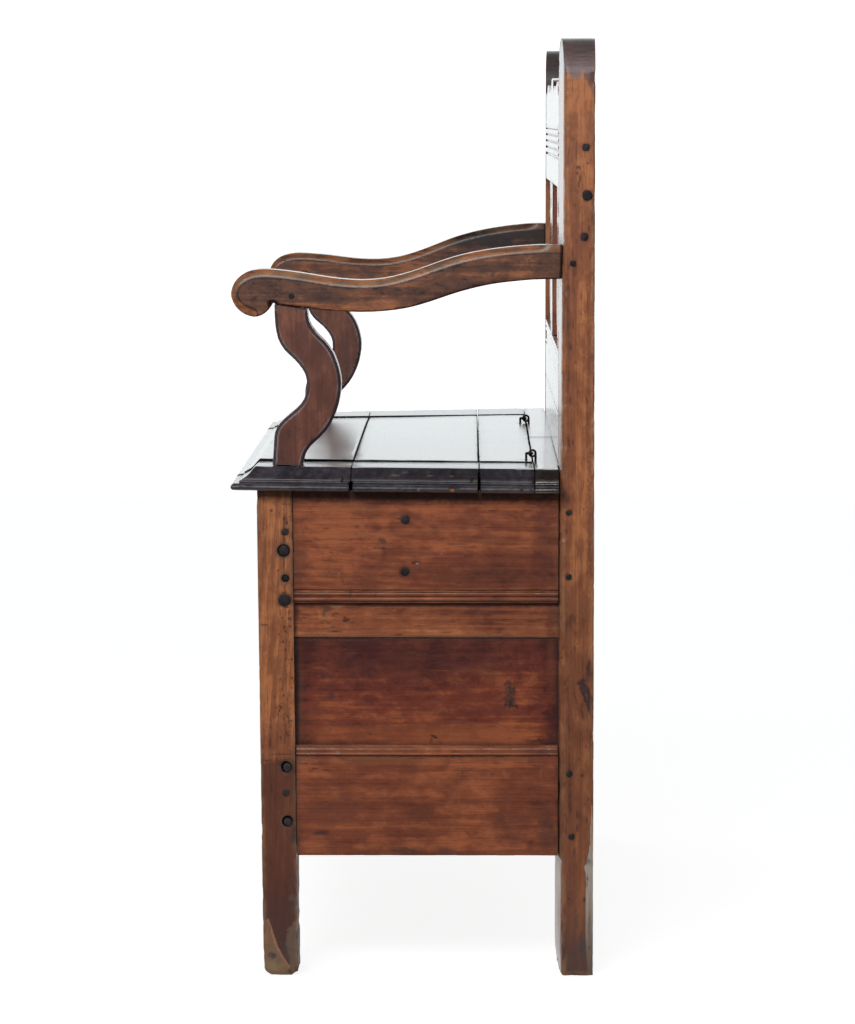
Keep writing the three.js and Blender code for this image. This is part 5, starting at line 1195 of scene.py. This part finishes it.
foot_planes = [0.8, 1.6, 2.6, 3.8, 5.2, 7.0, 9.0, 12.0]
for side, sign in (("right", 1), ("left", -1)):
    xs = [sign * q for q in (512, 516, 520, 523, 526, 528.5)]
    fine = sign > 0
    plan(f"back_post_{side}", "post", "Z", width=2.2, grid=(16, 1.5, 1.5) if fine else (12, 5, 6), extra={0: xs, 1: [182, 183, 184, 185, 186, 187, 188, 189, 190, 191, 192], 2: foot_planes},
         flat=0.4, dent=0.9, move=post_move(sign), paint=post_paint(sign))
    plan(f"front_leg_{side}", "post", "Z", width=1.6, grid=(16, 1.25, 1.25) if fine else (10, 4, 5), extra={2: foot_planes, 1: [-158, -156, -154, -124, -122]}, flat=0.35, dent=0.8, move=leg_move(sign), paint=leg_paint)
    plan(f"side_top_rail_{side}", "rail", "Y", width=0.8, grid=(14, 1.5, 1.5) if fine else (9, 5, 5), flat=0.5, dent=0.5)
    plan(f"side_bottom_rail_{side}", "rail", "Y", width=0.8, grid=(14, 1.5, 1.5) if fine else (9, 5, 5), flat=0.5, dent=0.5)
    plan(f"side_panel_upper_board_{side}", "strip", "Y", width=0.3, grid=(14, 1.3, 1.1) if fine else (9, 6, 6), flat=0.5, dent=0.2)
    plan(f"side_panel_lower_board_{side}", "panel", "Y", width=0.3, grid=(14, 1.5, 1.3) if fine else (9, 6, 6), flat=0.7, dent=0.2, paint=board_paint)
    plan(f"arm_{side}", "arm", "Y", width=7.5, width_of=arm_width, move=arm_move(sign), paint=arm_paint(sign), seg=6, grid=(9, 1.4, 1.2) if fine else (9, 2.2, 1.6), flat=0.5, dent=0.5)
    plan(f"arm_support_{side}", "support", "Z", width=0.5, width_of=support_width, seg=1, paint=support_paint, move=support_move, grid=(10, 1.1, 1.1) if fine else (10, 1.6, 1.6), flat=0.4, dent=0.4)
    end_planes = {1: [-72, -70, -68.5, -67.5, -66.5, -64.5, -63.5, -62.5, -61, 64, 66, 67.5, 68.5, 69.5, 71.5, 72.5, 73.5, 75, 77]}
    plan(f"seat_end_front_{side}", "nose", "X", width=2.6, width_of=board_width, paint=joint_paint, grid=(6, 1.6, 1.4) if fine else (6, 5, 5), extra=end_planes, flat=0.5, dent=0.6,
         move=gap_move(sign, [(-65.5, -1, 1.7, 519, 531)]))
    plan(f"seat_end_middle_{side}", "nose", "X", width=2.6, width_of=board_width, paint=joint_paint, grid=(6, 1.6, 1.4) if fine else (6, 5, 5), extra=end_planes, flat=0.5, dent=0.6,
         move=gap_move(sign, [(-65.5, 1, 1.7, 519, 531), (70.5, -1, 1.1, 519, 547)]))
    plan(f"seat_end_rear_{side}", "nose", "X", width=2.6, width_of=board_width, paint=joint_paint, grid=(6, 1.6, 1.4) if fine else (6, 5, 5), extra=end_planes, flat=0.5, dent=0.6,
         move=gap_move(sign, [(70.5, 1, 1.1, 519, 547)]))
    plan(f"front_panel_{side}", "panel", "X", width=0.3, grid=(10, 9, 10), flat=0.7, dent=0.2)
plan("seat_rear_board", "seat", "X", width=1.5, width_of=board_width, paint=rear_paint, move=end_move, grid=(9, 4, 6), flat=0.5, dent=0.6)
plan("lid_board_front", "seat", "X", width=1.9, width_of=board_width, paint=joint_paint, move=lid_move, grid=(7, 7, 7), flat=0.6, dent=0.6)
plan("lid_board_middle", "seat", "X", width=1.9, width_of=board_width, paint=joint_paint, move=lid_move, grid=(9, 9, 9), flat=0.6, dent=0.6)
plan("lid_board_rear", "seat", "X", width=1.9, width_of=board_width, paint=joint_paint, move=lid_move, grid=(9, 9, 9), flat=0.6, dent=0.6)
plan("front_top_rail", "rail", "X", width=0.8, grid=(9, 9, 9), flat=0.5, dent=0.5)
plan("front_bottom_rail", "rail", "X", width=0.8, grid=(9, 9, 9), flat=0.5, dent=0.5)
plan("front_muntin", "rail", "Z", width=0.8, grid=(8, 9, 8), flat=0.5, dent=0.5)
plan("back_crest_rail", "back", "X", width=1.6, move=crest_move, paint=crest_paint, grid=(6, 9, 6), flat=0.5, dent=0.5)
plan("back_mid_rail", "back", "X", width=0.8, grid=(8, 9, 8), flat=0.5, dent=0.5)
plan("back_muntin", "back", "Z", width=1.0, grid=(6, 5, 6), flat=0.4, dent=0.4)
plan("back_lower_board", "back", "X", width=0.6, grid=(9, 9, 9), flat=0.5, dent=0.4)
for i in (1, 2, 3, 4):
    plan(f"back_splat_{i}", "back", "Z", width=1.4, grid=(4, 5, 4), flat=0.4, dent=0.5)

HEAD = (0.953, 0.966)
# on the back posts these colours darken the wood from the seat to the floor: darker timber near the floor, and painted
# shade for the light falling off downwards
POST_FOOT = [(0.10, 0.60, (112, 64, 44), 0.45, 0.10), (0.005, 0.10, (70, 42, 33), 0.75, 0.08)]
LEG_FOOT = [(0.228, 0.236, (92, 46, 32), 0.80, 0.02), (0.02, 0.16, (60, 26, 20), 0.85, 0.05)]
LOOKS = {
    "back_post_right": dict(marks_at=POST_MARKS, head=HEAD, foot=POST_FOOT),
    "back_post_left": dict(head=(0.916, 0.932), foot=POST_FOOT),
    "front_leg_right": dict(marks_at=LEG_MARKS, foot=LEG_FOOT),
    "front_leg_left": dict(foot=LEG_FOOT),
    "side_top_rail_right": dict(marks_at=TOP_RAIL_MARKS, face=528.5),
    "side_bottom_rail_right": dict(marks_at=LOW_RAIL_MARKS, face=528.5),
    "side_panel_upper_board_right": dict(marks_at=STRIP_MARKS, face=518.0),
    "side_panel_lower_board_right": dict(marks_at=BOARD_MARKS, face=518.0),
    "seat_end_front_right": dict(marks_at=[m for m in NOSE_MARKS if m["u"] < 352 or m["a"] > 20], face=552),
    "seat_end_middle_right": dict(marks_at=[m for m in NOSE_MARKS if 346 < m["u"] < 484 or m["a"] > 20], face=552),
    "seat_end_rear_right": dict(marks_at=[m for m in NOSE_MARKS if m["u"] > 476 or m["a"] > 20], face=552),
    "arm_right": dict(marks_at=ARM_MARKS, face=523.0),
    "arm_support_right": dict(marks_at=SUPPORT_MARKS, face=523.0),
}
for seed, (node, kind, axis, kw) in enumerate(PLAN):
    look = dict(LOOKS.get(node, {}))
    marks_at, face = look.pop("marks_at", ()), look.pop("face", 530.0)
    ob = refine(node, seed=seed * 31 + 7, marks_at=marks_at, face=face, **kw)
    look.setdefault("bump", {"seat": 0.05, "nose": 0.35, "back": 0.06, "arm": 0.7, "support": 0.6}.get(kind, 1.0))
    dress(ob, wood_material(f"{node}_wood", kind, axis, seed=seed * 13 + 5, marked=bool(marks_at), **look))

# small pegs and plugs that only show as surface pieces
def plug(name, u, v, size, square, face, sign=1, seed=0):
    c0 = spot(u, v, face)
    r = size * 0.5 * 1.066 * MM
    rng = np.random.default_rng(seed)
    n = 20
    bm = bmesh.new()
    turn = rng.uniform(0, math.pi) if not square else rng.uniform(-0.12, 0.12)
    wob = rng.uniform(-1, 1, 6)
    rings = []
    for rho, x in ((1.0, -0.0022), (1.0, 0.00005), (0.96, 0.00035), (0.86, 0.00055), (0.55, 0.0007), (0.25, 0.00072)):
        ring = []
        for i in range(n):
            t = 2 * math.pi * i / n
            k = 1.0
            if square:
                k = 0.92 / max(abs(math.cos(t)), abs(math.sin(t))) ** 0.8
            k *= 1 + 0.045 * wob[0] * math.cos(2 * t + wob[1] * 3) + 0.035 * wob[2] * math.cos(3 * t + wob[3] * 3) + 0.02 * wob[4] * math.cos(5 * t + wob[5] * 3)
            a, b = r * rho * k * math.cos(t), r * rho * k * math.sin(t)
            dy = a * math.cos(turn) - b * math.sin(turn)
            dz = a * math.sin(turn) + b * math.cos(turn)
            dip = -0.0003 * max(0.0, math.cos(t + wob[0] * 3)) * rho
            ring.append(bm.verts.new((sign * (face * MM + x + (dip if x > 0 else 0.0)), c0.y + dy, c0.z + dz)))
        rings.append(ring)
    for a, b in zip(rings, rings[1:]):
        for i in range(n):
            j = (i + 1) % n
            bm.faces.new((a[i], a[j], b[j], b[i]))
    bm.faces.new(rings[-1])
    bm.faces.new(list(reversed(rings[0])))
    bmesh.ops.recalc_face_normals(bm, faces=bm.faces)
    for f in bm.faces:
        f.smooth = True
    me = bpy.data.meshes.new(name)
    bm.to_mesh(me)
    bm.free()
    me.set_sharp_from_angle(angle=math.radians(50))
    ob = bpy.data.objects.new(name, me)
    scene.collection.objects.link(ob)
    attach(ob, "carcass")
    return ob


PLUGS = [("post", 586.0, 147.4, 7.9, True, 529.7), ("post", 587.4, 195.5, 10.7, False, 529.7), ("post", 584.4, 236.8, 8.4, False, 529.7),
         ("post", 572.8, 263.8, 6.5, True, 529.7), ("post", 569.0, 513.0, 6.0, False, 529.7), ("post", 568.6, 577.0, 6.4, True, 529.7),
         ("post", 569.4, 774.2, 6.4, False, 529.7), ("post", 571.6, 836.9, 6.1, True, 529.7),
         ("leg", 285.2, 532.0, 7.6, False, 529.7), ("leg", 284.5, 600.2, 12.8, False, 529.7), ("leg", 286.1, 793.1, 6.9, False, 529.7),
         ("rail", 405.3, 519.8, 9.2, False, 528.2), ("rail", 404.9, 572.0, 8.7, False, 528.2), ("arm", 291.4, 296.1, 6.0, False, 522.7)]

inner_mat = {a: wood_material(f"inner_wood_{a}", "inner", a, seed=500 + i) for i, a in enumerate("XYZ")}
for node, axis in (("rear_panel", "X"), ("rear_top_rail", "X"), ("rear_bottom_rail", "X"), ("floor_board_right", "X"),
                   ("floor_board_left", "X"), ("seat_bearer_right", "Y"), ("seat_bearer_left", "Y"),
                   ("lid_batten_right", "Y"), ("lid_batten_left", "Y")):
    keep_node(node, inner_mat[axis], 1.2)
def peg_piece(node, seed):
    """A trimmed peg of uneven outline in its hole."""
    lo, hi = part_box(node)
    sign = 1 if hi[0] > 0 else -1
    cy, cz = (lo[1] + hi[1]) / 2, (lo[2] + hi[2]) / 2
    r = min(hi[1] - lo[1], hi[2] - lo[2]) / 2
    outer, inner = (hi[0], lo[0]) if sign > 0 else (lo[0], hi[0])
    rng = np.random.default_rng(seed)
    wob = rng.uniform(-1, 1, 8)
    low = "bottom" in node
    shift = (0.0007 if low else 0.0002, -0.0005 if low else 0.0)
    n = 28
    bm = bmesh.new()
    rings = []
    for rho, inset in ((0.98, None), (0.985, 0.0010), (0.97, 0.0005), (0.93, 0.00015), (0.80, 0.0), (0.62, 0.0001), (0.42, 0.0), (0.20, 0.0001)):
        ring = []
        x = inner if inset is None else outer - sign * inset
        for i in range(n):
            t = 2 * math.pi * i / n
            k = 0.955 + 0.02 * wob[0] * math.cos(2 * t + 3 * wob[1]) + 0.018 * wob[2] * math.cos(3 * t + 3 * wob[3]) + 0.008 * wob[4] * math.cos(7 * t)
            k *= 0.94 if low else 1.0
            tilt = 0.0
            if inset is not None:
                tilt = 0.0004 * (1 + math.cos(t + 3 * wob[5])) * rho + 0.00025 * (vnoise(np.array([[math.cos(t) * rho * 2, math.sin(t) * rho * 2, seed * 1.7]]), 1.7, 9)[0])
            ring.append(bm.verts.new((x - sign * tilt, cy + shift[0] + r * rho * k * math.cos(t), cz + shift[1] + r * rho * k * math.sin(t))))
        rings.append(ring)
    for a, b in zip(rings, rings[1:]):
        for i in range(n):
            j = (i + 1) % n
            bm.faces.new((a[i], a[j], b[j], b[i]))
    bm.faces.new(rings[-1])
    bm.faces.new(list(reversed(rings[0])))
    bmesh.ops.recalc_face_normals(bm, faces=bm.faces)
    for f in bm.faces:
        f.smooth = True
    me = bpy.data.meshes.new(f"{node}_trimmed")
    bm.to_mesh(me)
    bm.free()
    me.set_sharp_from_angle(angle=math.radians(50))
    ob = bpy.data.objects.new(f"{node}_trimmed", me)
    scene.collection.objects.link(ob)
    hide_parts(node)
    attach(ob, NODE_BODY[node])
    return ob


peg_mat = wood_material("peg_wood", "peg", "X", seed=900, bump=1.6)
for sign, side in ((1, "right"), (-1, "left")):
    for i, (part, u, v, size, square, face) in enumerate(PLUGS):
        if part == "arm" and sign < 0:
            continue
        dress(plug(f"plug_{part}_{i + 1}_{side}", u, v, size, square, face, sign, seed=700 + i + (50 if sign < 0 else 0)), peg_mat)
for i, node in enumerate([q for q in NODES if q.startswith("peg_")]):
    dress(peg_piece(node, 40 + i), peg_mat)
iron = iron_material("hinge_iron")
for node in NODES:
    if node.startswith("hinge_eye"):
        keep_node(node, iron, 0.2)

# ---------------------------------------------------------------------------
# Stage: pale floor, white surroundings, soft light
# ---------------------------------------------------------------------------
def make_stage():
    me = bpy.data.meshes.new("floor")
    bm = bmesh.new()
    bmesh.ops.create_circle(bm, cap_ends=True, radius=3.6, segments=128)
    bm.to_mesh(me)
    bm.free()
    floor = bpy.data.objects.new("floor", me)
    floor.location = (-2.6, 0.0, -0.0005)
    scene.collection.objects.link(floor)
    mat = bpy.data.materials.new("pale_floor")
    mat.use_nodes = True
    T = Tree(mat.node_tree)
    bs = T.new("ShaderNodeBsdfPrincipled")
    bs.inputs["Base Color"].default_value = (0.36, 0.36, 0.36, 1)
    bs.inputs["Emission Color"].default_value = (1, 1, 1, 1)
    bs.inputs["Emission Strength"].default_value = 0.86
    bs.inputs["Roughness"].default_value = 0.9
    bs.inputs["Specular IOR Level"].default_value = 0.2
    out = T.new("ShaderNodeOutputMaterial")
    T.put(out.inputs[0], bs.outputs[0])
    me.materials.append(mat)
    floor.visible_diffuse = False

    world = bpy.data.worlds.new("studio")
    scene.world = world
    world.use_nodes = True
    T = Tree(world.node_tree)
    co = T.new("ShaderNodeTexCoord").outputs["Generated"]
    sep = T.new("ShaderNodeSeparateXYZ")
    T.put(sep.inputs[0], co)
    back = T.ramp(sep.outputs[0], -0.62, -0.18, 1.2, 0.19)
    low = T.ramp(sep.outputs[2], -0.25, -0.02, 0.12, 1.0)
    high = T.ramp(sep.outputs[2], 0.25, 0.75, 1.0, 0.45)
    amb = T.math("MULTIPLY", T.math("MULTIPLY", back, low), high)
    lp = T.new("ShaderNodeLightPath")
    val = T.math("MAXIMUM", lp.outputs["Is Camera Ray"], amb)
    bg = T.new("ShaderNodeBackground")
    T.put(bg.inputs["Strength"], val)
    T.put(bg.inputs["Color"], T.mix(lp.outputs["Is Camera Ray"], (0.94, 0.985, 1.0), (1.0, 1.0, 1.0)))
    out = T.new("ShaderNodeOutputWorld")
    T.put(out.inputs[0], bg.outputs[0])

    def area(name, loc, target, sx, sy, power):
        l = bpy.data.lights.new(name, "AREA")
        l.shape = "RECTANGLE"
        l.size, l.size_y = sx, sy
        l.energy = power
        o = bpy.data.objects.new(name, l)
        o.location = loc
        d = Vector(target) - Vector(loc)
        o.rotation_euler = d.to_track_quat("-Z", "Y").to_euler()
        o.visible_camera = False
        scene.collection.objects.link(o)
        return o

    area("front_softbox", (3.1, -0.60, 1.90), (0.5, 0.0, 0.62), 1.5, 1.0, 56)


make_stage()
scene.view_settings.view_transform = "Standard"
scene.view_settings.look = "None"
scene.view_settings.exposure = 0.0
scene.view_settings.gamma = 1.0
